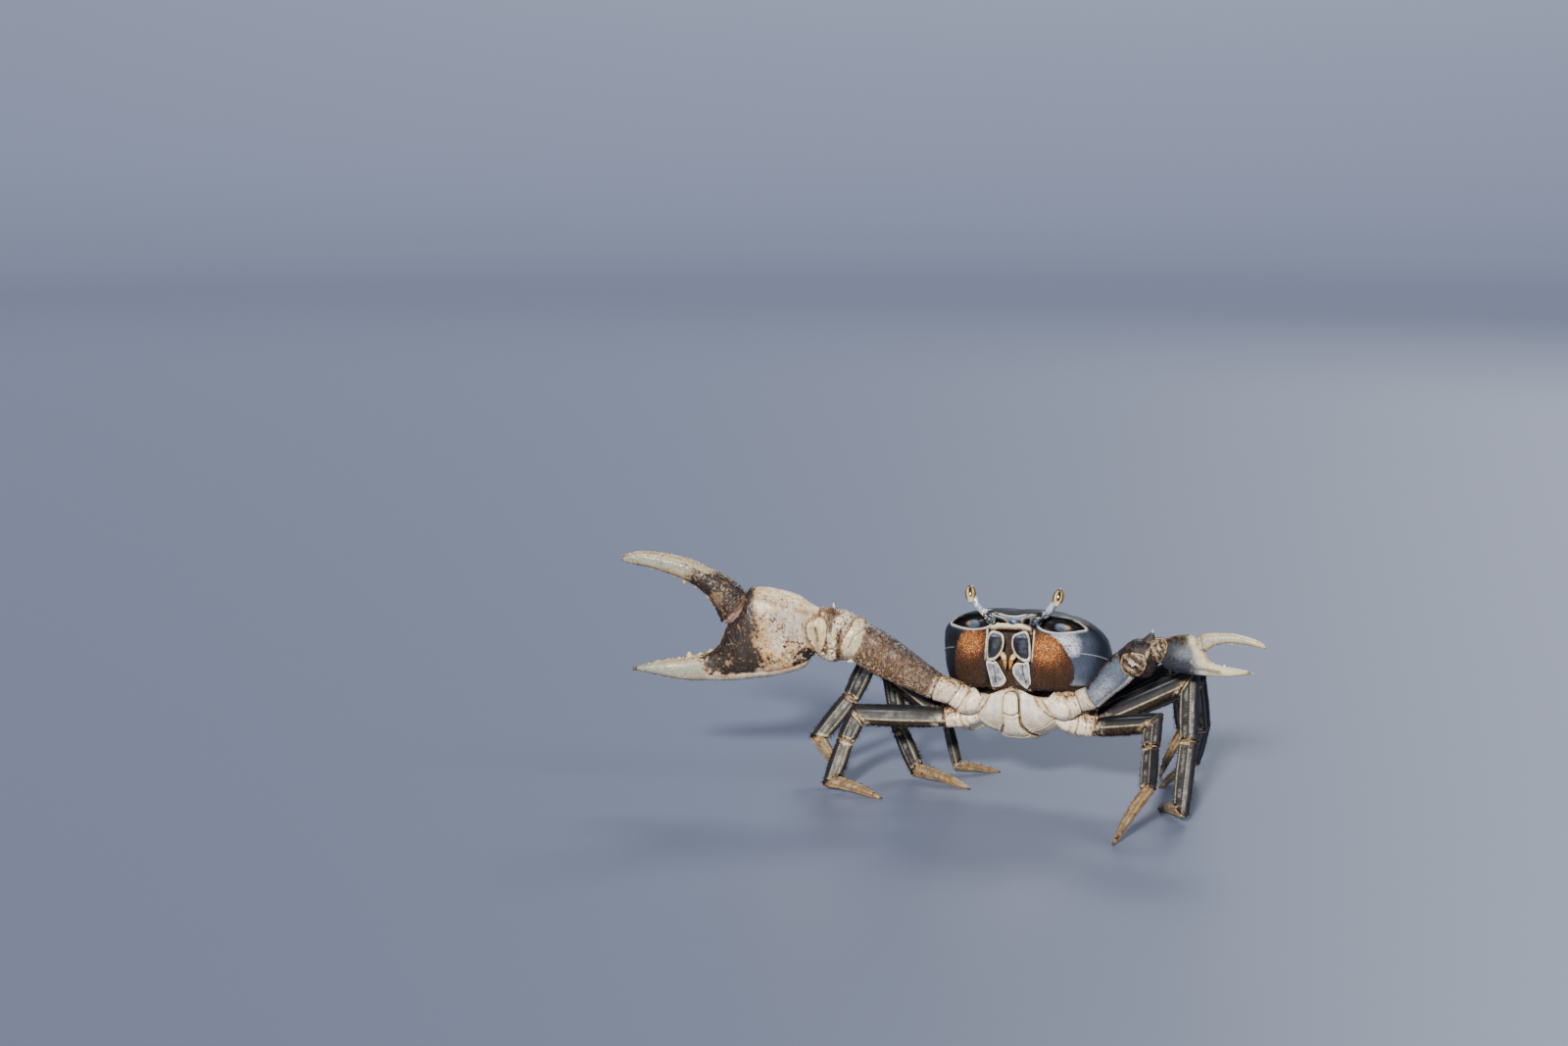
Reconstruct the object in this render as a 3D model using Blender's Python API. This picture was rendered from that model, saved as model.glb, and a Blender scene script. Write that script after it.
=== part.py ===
"""A blue land crab (Cardisoma guanhumi), an adult male, life size, standing high on its legs
with its body tilted back, its large right claw held out wide and its small left claw bent.

The crab faces -Y and its left side is at +X. Every joint is given in millimetres from the
point on the floor under the middle of the body. The body itself is drawn in a frame of its
own (x to the crab's left, y to its rear, z up), which BODY_YAW and BODY_PITCH then tilt."""
import math

import bmesh
import bpy
from mathutils import Matrix, Vector

MM = 0.001
GAP = 0.3                      # between two touching plates
SIDES = (("r", -1), ("l", 1))  # the crab's right and left, and the sign of x there

# driving dimensions of the body, in millimetres
CARAPACE_WIDTH = 96.0
CARAPACE_FRONT = 35.5          # from the middle of the body to the front margin
CARAPACE_REAR = 41.0           # and to the rear margin
STERNUM_BOTTOM = -49.0
BODY_YAW = math.radians(-22.5)
BODY_PITCH = math.radians(-27.0)
BODY_ROLL = math.radians(-2.0)
BODY_CENTRE = (2.5, 0.0, 83.0)
PLACE = (52.7, 28.5, 0.0)      # puts the middle of the whole crab over the origin

# the plane where the shell ends and the underside begins, rising towards the rear
SEAM_FRONT_Y, SEAM_FRONT_Z = -25.0, -30.5
SEAM_TILT = math.radians(18.0)

# where each limb leaves the body (x of the left side, y, z in the body's frame)
COXA = {1: (27, -13, -37), 2: (28, -3, -42.5), 3: (29, 9, -42.5), 4: (28, 20, -38), 5: (25, 29, -30.5)}

# walking legs: start of the merus, knee, carpus end, propodus end and tip, on the floor's frame
LEGS = {
    "r1": ((-45, -9, 43.5), (-94, 3, 42), (-101, 1, 27.5), (-109, -7, 6.0), (-81, -24, 0)),
    "r2": ((-47, 4, 44), (-86, 20, 72), (-97, 26, 47), (-116, 22, 23.5), (-101, 1, 0)),
    "r3": ((-44, 15, 41), (-73, 41, 53), (-68, 35, 24), (-59, 19, 5.5), (-30, -4, 0)),
    "r4": ((-37, 27, 41), (-52, 51, 50), (-40, 48, 25), (-35, 30, 5.0), (-10, 33, 0)),
    "l1": ((36, -35, 44.5), (65, -60, 53), (63, -67, 40.5), (58.5, -92, 24.5), (37.5, -113, 0)),
    "l2": ((40, -24, 46), (87, -42, 73), (85.5, -53, 41), (80, -68, 6.5), (72, -42, 0)),
    "l3": ((43, -13, 43), (97, -5, 62), (102, 5, 34), (100, 21, 9.5), (78, -1, 0)),
    "l4": ((40, 2, 47), (80, -2, 69), (90, 10, 51), (95, 26, 27), (82, 24, 0)),
}
LEG_HEIGHT = {"merus": (11.0, 13.0, 12.0), "carpus": (11.0, 11.5, 10.5), "propodus": (10.0, 10.5, 9.0)}
LEG_THICK = {"merus": 7.2, "carpus": 7.0, "propodus": 6.2, "dactyl": 5.0}
LEG_SCALE = {"1": 0.96, "2": 1.0, "3": 1.0, "4": 0.84}
DACTYL_SPINES, SPINE_OUT, SPINE_SWING = 5, 1.6, 0.9
DACTYL_TIP, DACTYL_BOW, FOOT_CUT = 0.8, 1.2, 0.35

# claws: hip end of the ischium, start of the merus, elbow, wrist, direction of the palm's axis
CLAWS = {
    "r": dict(ischium=(-41, -17, 60), merus=(-50, -13, 62), elbow=(-94, -1, 86), wrist=(-117, 3, 91),
              axis=(-1.0, 0.06, -0.04), up=(-0.04, 0.0, 1.0), size=1.03, tall=1.0, gape=0.0, spike=0.5),
    "l": dict(ischium=(26, -36, 59.5), merus=(34, -38, 62), elbow=(51, -47, 83), wrist=(68, -54, 91.5),
              axis=(0.93, -0.36, 0.0), up=(0.0, 0.0, 1.0), size=0.505, tall=0.84, gape=-26.0, spike=0.7),
}
CLAW_BASE = 7.5                # half the height of the arm where it leaves the body
SPIKE = 4.0                    # how far the carpus's spike stands out
TOOTH_ROOT = 3.0               # how deep a finger's tooth is set in the finger


def body_frame():
    place = Matrix.Translation(Vector(PLACE) + Vector(BODY_CENTRE))
    turn = Matrix.Rotation(BODY_YAW, 4, "Z") @ Matrix.Rotation(BODY_PITCH, 4, "X")
    return place @ turn @ Matrix.Rotation(BODY_ROLL, 4, "Y")


BODY = body_frame()


def on_body(x, y, z):
    return BODY @ Vector((x, y, z))


def on_floor(point):
    return Vector(point) + Vector(PLACE)


def blend(table, t):
    """A smooth value at t between the rows (t, value, ...) of a table, all columns at once."""
    last = len(table) - 1
    k = max(0, min(last - 1, sum(row[0] <= t for row in table) - 1))
    rows = [table[max(k - 1, 0)], table[k], table[k + 1], table[min(k + 2, last)]]
    f = min(1.0, max(0.0, (t - rows[1][0]) / max(rows[2][0] - rows[1][0], 1e-9)))
    values = []
    for p0, p1, p2, p3 in zip(*(row[1:] for row in rows)):
        slope1, slope2 = (p2 - p0) / 2, (p3 - p1) / 2
        cubic = 2 * p1 - 2 * p2 + slope1 + slope2
        values.append(((cubic * f + (3 * (p2 - p1) - 2 * slope1 - slope2)) * f + slope1) * f + p1)
    return values if len(values) > 1 else values[0]


def signed_power(value, power):
    return math.copysign(abs(value) ** power, value)


def oval(count, power):
    """Points of a superellipse of half width and half height 1, counter-clockwise."""
    angles = [2 * math.pi * (k + 0.5) / count for k in range(count)]
    return [(signed_power(math.cos(a), 2 / power), signed_power(math.sin(a), 2 / power)) for a in angles]


def new_object(name, mesh, material):
    mesh.transform(Matrix.Scale(MM, 4))
    obj = bpy.data.objects.new(name, mesh)
    obj.data.materials.append(material)
    CRAB.objects.link(obj)
    return obj


def loft(rings):
    """A closed bmesh through rings of equally many points, with flat ends."""
    bm = bmesh.new()
    loops = [[bm.verts.new(p) for p in ring] for ring in rings]
    count = len(loops[0])
    for one, two in zip(loops, loops[1:]):
        for k in range(count):
            n = (k + 1) % count
            bm.faces.new((one[k], one[n], two[n], two[k]))
    bm.faces.new(loops[0][::-1])
    bm.faces.new(loops[-1])
    bmesh.ops.recalc_face_normals(bm, faces=bm.faces)
    return bm


def to_mesh(bm, name):
    mesh = bpy.data.meshes.new(name)
    bm.to_mesh(mesh)
    bm.free()
    return mesh


def tube(points, sizes, side, first=None, last=None, sides=10, power=2.3):
    """Rings along a line of points. sizes holds (half height, half thickness) at each point and
    side is the thickness direction; first and last are the normals of the two end faces."""
    rings = []
    for k, (point, (high, thick)) in enumerate(zip(points, sizes)):
        t = k / (len(points) - 1)
        along = (points[min(k + 1, len(points) - 1)] - points[max(k - 1, 0)]).normalized()
        face, slant = (first, 1 - 2 * t) if t < 0.5 else (last, 2 * t - 1)
        face = face or along
        across = (side - along * side.dot(along)).normalized()
        top = across.cross(along)
        ring = []
        for c, s in oval(sides, power):
            offset = across * (thick * c) + top * (high * s)
            ring.append(point + offset - along * (slant * offset.dot(face) / along.dot(face)))
        rings.append(ring)
    return rings


def cone(root, tip, radius, end=0.12, sides=5):
    """A small spike, or with a wide end a blunt tooth, as a closed bmesh for a union."""
    bm = bmesh.new()
    length = (tip - root).length
    bmesh.ops.create_cone(bm, cap_ends=True, segments=sides, radius1=radius, radius2=end, depth=length)
    turn = (tip - root).to_track_quat("Z", "Y").to_matrix().to_4x4()
    bmesh.ops.transform(bm, matrix=Matrix.Translation((root + tip) / 2) @ turn, verts=bm.verts)
    return bm


def ball(centre, size, turn=None, segments=10, rings=6):
    bm = bmesh.new()
    bmesh.ops.create_uvsphere(bm, u_segments=segments, v_segments=rings, radius=1.0)
    shape = Matrix.Diagonal((*size, 1.0))
    if turn:
        shape = turn @ shape
    bmesh.ops.transform(bm, matrix=Matrix.Translation(centre) @ shape, verts=bm.verts)
    return bm


def apply_modifiers(obj):
    graph = bpy.context.evaluated_depsgraph_get()
    mesh = bpy.data.meshes.new_from_object(obj.evaluated_get(graph))
    obj.modifiers.clear()
    old, obj.data = obj.data, mesh
    bpy.data.meshes.remove(old)


def span(verts):
    """The diagonal of the box round some vertices."""
    low = Vector([min(v.co[k] for v in verts) for k in range(3)])
    high = Vector([max(v.co[k] for v in verts) for k in range(3)])
    return (high - low).length


def largest_surface(obj):
    """Keeps only the largest closed surface of a mesh."""
    bm = bmesh.new()
    bm.from_mesh(obj.data)
    left, pieces = set(bm.verts), []
    while left:
        piece, edge = set(), [left.pop()]
        while edge:
            vert = edge.pop()
            piece.add(vert)
            for link in vert.link_edges:
                other = link.other_vert(vert)
                if other in left:
                    left.discard(other)
                    edge.append(other)
        pieces.append(piece)
    for piece in sorted(pieces, key=span)[:-1]:
        bmesh.ops.delete(bm, geom=list(piece), context="VERTS")
    bm.to_mesh(obj.data)
    bm.free()


def combine(obj, bits, operation="UNION"):
    """Joins closed bmeshes to an object, or cuts them from it, with one Boolean on a collection."""
    helpers = bpy.data.collections.new(obj.name + "_bits")
    bpy.context.scene.collection.children.link(helpers)
    for bm in bits:
        bmesh.ops.recalc_face_normals(bm, faces=bm.faces)
        mesh = to_mesh(bm, "bit")
        mesh.transform(Matrix.Scale(MM, 4))
        helpers.objects.link(bpy.data.objects.new("bit", mesh))
    modifier = obj.modifiers.new("combine", "BOOLEAN")
    modifier.operand_type = "COLLECTION"
    modifier.collection = helpers
    modifier.operation = operation
    modifier.solver = "EXACT"
    apply_modifiers(obj)
    for helper in list(helpers.objects):
        bpy.data.objects.remove(helper)
    bpy.data.collections.remove(helpers)
    largest_surface(obj)


def cut_flat(obj, point, normal):
    """Cuts off what lies on the normal's side of a plane and closes the cut."""
    bm = bmesh.new()
    bm.from_mesh(obj.data)
    geometry = list(bm.verts) + list(bm.edges) + list(bm.faces)
    cut = bmesh.ops.bisect_plane(bm, geom=geometry, dist=1e-7, plane_co=point * MM, plane_no=normal,
                                 clear_outer=True)
    edges = [e for e in cut["geom_cut"] if isinstance(e, bmesh.types.BMEdge)]
    bmesh.ops.holes_fill(bm, edges=edges)
    bmesh.ops.recalc_face_normals(bm, faces=bm.faces)
    bm.to_mesh(obj.data)
    bm.free()


def seam_z(y):
    return SEAM_FRONT_Z + (y - SEAM_FRONT_Y) * math.tan(SEAM_TILT)


def seam_plane(lift):
    """A point on the seam plane, lifted by a distance along its normal, and that normal."""
    normal = Vector((0, -math.sin(SEAM_TILT), math.cos(SEAM_TILT)))
    point = Vector((0, SEAM_FRONT_Y, SEAM_FRONT_Z)) + normal * lift
    turn = BODY.to_3x3()
    return BODY @ point, turn @ normal


# half the outline of the shell seen from above, from the front middle round to the rear middle:
# angle in degrees, half width as a share of the carapace width, and the place along the body
OUTLINE = [(0, 0.0, -1.0), (15, 0.14, -1.0), (30, 0.26, -0.95), (45, 0.37, -0.82), (62, 0.468, -0.50),
           (85, 0.50, -0.02), (108, 0.468, 0.38), (128, 0.375, 0.68), (148, 0.25, 0.92), (164, 0.13, 1.0),
           (180, 0.0, 1.01)]
# the shell's profile from its top to below the seam: (step, share of the outline, height) at the
# front, the side and the rear
FRONT = [(0, 0.0, 18.5), (1, 0.34, 17.6), (2, 0.58, 15.6), (3, 0.78, 12.6), (4, 0.92, 9.8), (5, 1.0, 7.6),
         (6, 0.95, 4.8), (7, 0.875, 0.5), (8, 0.85, -7), (9, 0.82, -15), (10, 0.73, -24), (11, 0.60, -33)]
SIDE = [(0, 0.0, 18.5), (1, 0.36, 17.9), (2, 0.62, 15.8), (3, 0.80, 12.0), (4, 0.92, 7.0), (5, 0.98, 1.0),
        (6, 1.0, -5), (7, 0.99, -11.5), (8, 0.955, -18), (9, 0.885, -24), (10, 0.77, -29), (11, 0.64, -33)]
REAR = [(0, 0.0, 18.5), (1, 0.36, 17.4), (2, 0.62, 14.0), (3, 0.80, 9.3), (4, 0.92, 3.6), (5, 0.98, -2.5),
        (6, 1.0, -8), (7, 1.0, -12), (8, 0.98, -16), (9, 0.95, -21), (10, 0.90, -27), (11, 0.84, -33)]


def shell_point(angle, step):
    """A point of the shell in the body's frame. angle runs round it in degrees, 0 at the front
    and 90 on the crab's left; step runs from 0 at the top to 11 below the seam."""
    turn = abs((angle + 180) % 360 - 180)
    side = math.copysign(1.0, (angle + 180) % 360 - 180)
    wide, along = blend(OUTLINE, turn)
    x = side * wide * CARAPACE_WIDTH
    y = along * (CARAPACE_FRONT if along < 0 else CARAPACE_REAR)
    ahead = max(0.0, math.cos(math.radians(turn))) ** 1.3
    behind = max(0.0, -math.cos(math.radians(turn))) ** 1.1
    beside = max(0.0, 1 - ahead - behind)
    total = ahead + behind + beside
    share, height = (
        sum(weight * value for weight, value in zip((ahead, beside, behind), values)) / total
        for values in zip(blend(FRONT, step), blend(SIDE, step), blend(REAR, step)))
    return Vector((x * share, y * share, height))


def shell_mesh(columns, rows):
    rings = []
    for row in range(1, rows + 1):
        step = 0.35 + (11 - 0.35) * (row - 1) / (rows - 1)
        rings.append([BODY @ shell_point(360 * k / columns, step) for k in range(columns)])
    return loft(rings)


# the left eye, in the body's frame: its stalk's root, where the cornea starts, and its top
STALK_ROOT = (14.5, -33.5, 8.0)
STALK_END = (22.8, -38.2, 16.6)
EYE_TOP = (26.6, -40.6, 22.6)
SOCKET_RADIUS, SOCKET_LENGTH = 3.3, 9.0
ORBIT = dict(centre=(25.0, -32.5, 6.2), size=(12.5, 7.0, 3.6), turn=math.radians(-17), tip=0.1)
# the pocket that the mouth's plates close, seen from the front: half width at each height
MOUTH = [(12.9, 0.5), (12.6, -20.0), (12.0, -36.0)]
MOUTH_AHEAD = -42.0            # the pocket's cutter starts ahead of the face


def mouth_floor(z):
    """How deep the pocket of the mouth is cut at a height, in the body's frame."""
    return -26.5 - 0.29 * min(z, 0.0)


def carapace():
    """The shell from its top down to the seam, with the orbits, the sockets of the eyestalks and
    the pocket of the mouth cut into its front."""
    obj = new_object("carapace", to_mesh(shell_mesh(44, 15), "carapace"), SLATE)
    upright = BODY.to_3x3().to_4x4()
    cutters = []
    for side in (1, -1):
        x, y, z = ORBIT["centre"]
        lean = Matrix.Rotation(side * ORBIT["turn"], 4, "Z") @ Matrix.Rotation(side * ORBIT["tip"], 4, "Y")
        cutters.append(ball(on_body(side * x, y, z), ORBIT["size"], upright @ lean, 14, 8))
        root, end = (on_body(side * p[0], p[1], p[2]) for p in (STALK_ROOT, STALK_END))
        away = (end - root).normalized()
        cutters.append(cone(root, root + away * SOCKET_LENGTH, SOCKET_RADIUS, SOCKET_RADIUS, 12))
    mouth = [(-x, z) for x, z in MOUTH] + [(x, z) for x, z in reversed(MOUTH)]
    outside = [on_body(MOUTH_X + x, MOUTH_AHEAD, z) for x, z in mouth]
    cutters.append(loft([outside, [on_body(MOUTH_X + x, mouth_floor(z), z) for x, z in mouth]]))
    combine(obj, cutters, "DIFFERENCE")
    point, normal = seam_plane(GAP / 2)
    cut_flat(obj, point, -normal)


# the underside: half width, reach to the front and rear of its middle, and that middle's y
STERNUM_X, STERNUM_FRONT, STERNUM_REAR, STERNUM_MIDDLE = 31.0, 29.5, 32.0, 7.0
STERNUM_ROWS, STERNUM_COLUMNS = 9, 28
STERNUM_LID = 3.0              # how far the plate reaches past the seam before it is cut there
CLAW_COXA, LEG_COXA = 7.4, 6.3 # half the width of the stubs that carry the claws and the legs
COXA_PROFILE = [(0.8, 0.75), (1.0, 0.9), (1.05, 0.8), (0.95, 0.62)]


def underside(x, y):
    """A point on the underside, which bulges below the seam plane, in the body's frame."""
    reach = STERNUM_FRONT if y < STERNUM_MIDDLE else STERNUM_REAR
    r = min(1.0, (abs(x) / STERNUM_X) ** 3.4 + (abs(y - STERNUM_MIDDLE) / reach) ** 2.2)
    deepest = seam_z(STERNUM_MIDDLE) - STERNUM_BOTTOM
    return Vector((x, y, seam_z(y) - deepest * (1 - r) ** 0.5))


def sternum_point(x, y, lift):
    """A point of the underside lifted off it along its normal."""
    step = 0.5
    along_x = underside(x + step, y) - underside(x - step, y)
    along_y = underside(x, y - step) - underside(x, y + step)
    return underside(x, y) + along_x.cross(along_y).normalized() * lift


def coxa(side, sign, number):
    """The stub of one limb, from inside the body out to where its next segment starts."""
    x, y, z = COXA[number]
    inner, hip = on_body(sign * (x - 6), y, z + 4), on_body(sign * x, y, z)
    if number == 1:
        end, size = on_floor(CLAWS[side]["ischium"]), CLAW_COXA
    else:
        leg_key = f"{side}{number - 1}"
        end, size = on_floor(LEGS[leg_key][0]), LEG_COXA * LEG_SCALE[leg_key[1]]
    spine = [inner, hip, (hip + end) / 2, end - (end - hip).normalized() * GAP / 2]
    sizes = [(size * high, size * thick) for high, thick in COXA_PROFILE]
    return loft(tube(spine, sizes, BODY.to_3x3() @ Vector((0, 1, 0)), sides=8))


def sternum():
    """The underside plate with the stubs of the ten limbs."""
    rings = []
    for row in range(STERNUM_ROWS):
        share = math.sin(math.radians(4 + 86 * row / (STERNUM_ROWS - 1)))
        ring = []
        for k in range(STERNUM_COLUMNS):
            a = 2 * math.pi * k / STERNUM_COLUMNS
            reach = STERNUM_REAR if math.sin(a) > 0 else STERNUM_FRONT
            x = STERNUM_X * share * signed_power(math.cos(a), 0.72)
            y = STERNUM_MIDDLE + share * reach * signed_power(math.sin(a), 0.9)
            ring.append(BODY @ underside(x, y))
        rings.append(ring)
    rise = BODY.to_3x3() @ Vector((0, 0, STERNUM_LID))
    rings.append([point + rise for point in rings[-1]])
    obj = new_object("sternum", to_mesh(loft(rings), "sternum"), IVORY)
    combine(obj, [coxa(side, sign, number) for side, sign in SIDES for number in COXA])
    point, normal = seam_plane(-GAP / 2)
    cut_flat(obj, point, normal)


# the abdomen, folded flat under the body: place along the body and half width of the flap
FLAP = [(0, -22.8, 2.4), (1, -20.0, 4.3), (2, -12.5, 4.6), (3, -8.0, 6.5), (4, 0.0, 9.0), (5, 9.0, 11.0),
        (6, 18.0, 12.5), (7, 27.0, 13.0), (8, 33.5, 12.0), (9, 37.5, 10.0)]
FLAP_THICK = 2.2


def abdomen():
    columns = 8
    low, high = [], []
    for row in range(19):
        y, half = blend(FLAP, row / 2)
        across = [half * (2 * k / columns - 1) for k in range(columns + 1)]
        low.append([BODY @ sternum_point(x, y, 2 * GAP) for x in across])
        high.append([BODY @ sternum_point(x * 0.93, y, 2 * GAP + FLAP_THICK) for x in across])
    rings = [a + b[::-1] for a, b in zip(low, high)]
    new_object("abdomen", to_mesh(loft(rings), "abdomen"), IVORY)


# a third maxilliped of the left side: outer (merus) and inner (ischium) plates, seen from the
# front as (x, z) in the body's frame
MOUTH_X = -2.2                 # the mouth sits a little to the crab's right
PLATE_OUTER = [(2.6, -2.5), (6.0, -0.6), (9.5, -0.6), (11.6, -4.0), (12.2, -9.5), (12.0, -16.2),
               (7.0, -16.6), (3.8, -12.5), (2.2, -7.5)]
PLATE_INNER = [(11.4, -15.6), (6.2, -15.6), (1.8, -24.5), (4.0, -28.5), (7.0, -30.3), (9.8, -30.0),
               (11.2, -24.0)]
PALP = [(5.5, -27.5, -14.0), (2.6, -28.4, -15.5), (2.0, -28.0, -20.0)]
# how far forward the face of the mouth lies at each share of its depth
FACE_DEPTH = 31.0
FACE = [(0, -31.5), (0.3, -30.4), (0.6, -28.4), (0.8, -25.6), (1.0, -21.5)]


def face_y(z):
    """Where the mouth's plates face forward, in the body's frame."""
    return blend(FACE, min(1.0, max(0.0, -z / FACE_DEPTH)))


def maxilliped(side, sign):
    """One leaf of the mouth's door: two plates and the small palp that hangs from the upper one."""
    pieces = []
    for outline, forward, back in ((PLATE_OUTER, 1.6, 0.0), (PLATE_INNER, 1.0, 0.25)):
        centre = Vector((sum(p[0] for p in outline), sum(p[1] for p in outline))) / len(outline)
        rings = []
        for inset, depth in ((1.0, None), (1.0, 0.9), (0.86, 0.0)):
            ring = []
            for p in outline:
                q = centre + (Vector(p) - centre) * inset
                y = mouth_floor(q.y) - GAP - back if depth is None else face_y(q.y) - forward + depth
                ring.append(on_body(MOUTH_X + sign * q.x, y, q.y))
            rings.append(ring)
        pieces.append(loft(rings))
    across = BODY.to_3x3() @ Vector((0, 1, 0))
    palp = [on_body(MOUTH_X + sign * x, y, z) for x, y, z in PALP]
    pieces.append(loft(tube(palp, [(1.4, 1.2), (1.3, 1.1), (0.7, 0.7)], across, sides=6)))
    main, rest = pieces[0], pieces[1:]
    obj = new_object("maxilliped_" + side, to_mesh(main, "maxilliped"), PLATE)
    combine(obj, rest)
    point, normal = seam_plane(GAP / 2)
    cut_flat(obj, point, -normal)


CORNEA = [(0.0, 2.9), (0.25, 3.35), (0.5, 3.4), (0.72, 2.9), (0.9, 1.9), (1.0, 0.8)]
CORNEA_FLAT = 0.92
ANTENNA = [(11.0, -35.9, 3.6), (12.5, -37.3, 4.2), (16.0, -38.6, 5.6), (19.5, -39.4, 8.3)]
ANTENNA_SIZES = [(1.9, 1.6), (2.0, 1.7), (0.9, 0.9), (0.3, 0.3)]


def eye(side, sign):
    """An eyestalk and the long cornea on its end."""
    root, end, top = (on_body(sign * p[0], p[1], p[2]) for p in (STALK_ROOT, STALK_END, EYE_TOP))
    across = BODY.to_3x3() @ Vector((0, 1, 0))
    away = (end - root).normalized()
    spine = [root + away * GAP, root + away * 3.0, root.lerp(end, 0.6), end]
    sizes = [(2.7, 2.7), (2.3, 2.3), (2.2, 2.3), (2.9, 2.7)]
    face = (top - end).normalized()
    stalk = loft(tube(spine, sizes, across, last=face))
    new_object("eyestalk_" + side, to_mesh(stalk, "eyestalk"), SLATE)
    spine = [(end + face * GAP).lerp(top, t) for t, r in CORNEA]
    cornea = loft(tube(spine, [(r, r * CORNEA_FLAT) for t, r in CORNEA], across, first=face))
    new_object("eye_" + side, to_mesh(cornea, "eye"), AMBER)


def antenna(side, sign):
    """The short antenna beside the eye, on its round base."""
    points = [on_body(sign * x, y, z) for x, y, z in ANTENNA]
    feeler = loft(tube(points, ANTENNA_SIZES, Vector((0, 1, 0)), sides=8))
    new_object("antenna_" + side, to_mesh(feeler, "antenna"), SLATE)


def segment(name, start, end, side, faces, sizes, material, sides=10, rows=5, bend=0.0):
    """One limb segment: a tube from start to end whose end faces lie in the joints' planes.
    sizes is a list of (t, half height, half thickness); bend bows it towards its top side."""
    axis = (end - start).normalized()
    top = side.cross(axis)
    first = start + faces[0] * (GAP / 2 / faces[0].dot(axis))
    last = end - faces[1] * (GAP / 2 / faces[1].dot(axis))
    steps = [k / (rows - 1) for k in range(rows)]
    spine = [first.lerp(last, t) + top * (bend * math.sin(math.pi * t)) for t in steps]
    rings = tube(spine, [blend(sizes, t) for t in steps], side, faces[0], faces[1], sides)
    return new_object(name, to_mesh(loft(rings), name), material)


def hip_of(side, number):
    """Where a limb leaves the body."""
    x, y, z = COXA[number]
    return on_body(-x if side == "r" else x, y, z)


def joint_planes(points):
    """The direction of each run between joints and, at each joint, the normal of the plane in
    which its two segments meet. The first segment starts square to its stub."""
    runs = [(b - a).normalized() for a, b in zip(points, points[1:])]
    planes = [(a + b).normalized() for a, b in zip(runs, runs[1:])]
    planes[0] = runs[0]
    return runs, planes


def dactyl(key, ankle, tip, side, face, scale):
    """The pointed last segment of a leg, bowed a little, with rows of small spines, standing on
    a flat where it meets the floor."""
    axis = (tip - ankle).normalized()
    top = side.cross(axis)
    root = LEG_HEIGHT["propodus"][2] / 2 * scale
    thick = LEG_THICK["dactyl"] / 2 * scale
    sizes = [(0.0, root * 0.86, thick * 1.1), (0.3, root * 0.76, thick), (0.65, root * 0.6, thick * 0.8),
             (0.85, root * 0.4, thick * 0.6), (1.0, DACTYL_TIP, DACTYL_TIP)]
    below = tip - Vector((0, 0, FOOT_CUT))
    obj = segment(f"leg_{key}_dactyl", ankle, below, side, (face, axis), sizes, HORN, 8, 7, DACTYL_BOW)
    spikes = []
    for k in range(DACTYL_SPINES):
        t = 0.22 + 0.56 * k / (DACTYL_SPINES - 1)
        high, wide = blend(sizes, t)
        swing = SPINE_SWING * (1 if k % 2 else -1)
        out = top * math.cos(swing) + side * math.sin(swing)
        centre = ankle.lerp(tip, t) + top * (DACTYL_BOW * math.sin(math.pi * t))
        spikes.append(cone(centre, centre + out * (high + SPINE_OUT) + axis * 1.2, 0.8))
    combine(obj, spikes)
    cut_flat(obj, Vector(PLACE), Vector((0, 0, -1)))


def leg(key, joints):
    start, knee, wrist, ankle, tip = (on_floor(p) for p in joints)
    scale = LEG_SCALE[key[1]]
    side = (knee - start).cross(ankle - knee).normalized()
    points = [hip_of(key[0], int(key[1]) + 1), start, knee, wrist, ankle, tip]
    planes = joint_planes(points)[1]
    for k, name in enumerate(("merus", "carpus", "propodus")):
        low, mid, high = (value / 2 * scale for value in LEG_HEIGHT[name])
        thick = LEG_THICK[name] / 2 * scale
        sizes = [(0.0, low, thick * 0.9), (0.25, mid * 0.98, thick), (0.6, mid, thick),
                 (1.0, high, thick * 0.9)]
        ends = points[k + 1], points[k + 2]
        segment(f"leg_{key}_{name}", *ends, side, planes[k:k + 2], sizes, SLATE, sides=8)
    dactyl(key, ankle, tip, side, planes[3], scale)


# the large claw in its own plane, in millimetres: along from the wrist, then top and bottom edge
PALM = [(0, 12.0, -14.0), (8, 18.5, -20.5), (18, 22.5, -23.5), (29, 24.6, -25.0), (36.5, 23.4, -25.5),
        (43, 14.0, -26.0), (49.5, 4.0, -26.2), (54.5, -6.5, -26.3), (61, -11.0, -26.0), (72, -13.3, -25.6),
        (84, -14.5, -23.6), (95, -16.2, -20.8), (103, -18.0, -19.5)]
PALM_THICK = [(0, 8.0), (8, 10.5), (18, 12.0), (29, 12.5), (36.5, 12.0), (43, 11.0), (49.5, 9.0),
              (54.5, 7.5), (61, 6.5), (72, 5.6), (84, 4.6), (95, 3.0), (103, 0.9)]
# the teeth on the palm's fixed finger: place along the claw, edge there, and height
PALM_TEETH = [(59, -9.8, 1.0), (65, -12.0, 1.4), (71, -13.0, 3.2), (77, -13.8, 1.0), (83, -14.3, 0.9),
              (89, -15.2, 0.8)]
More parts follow.
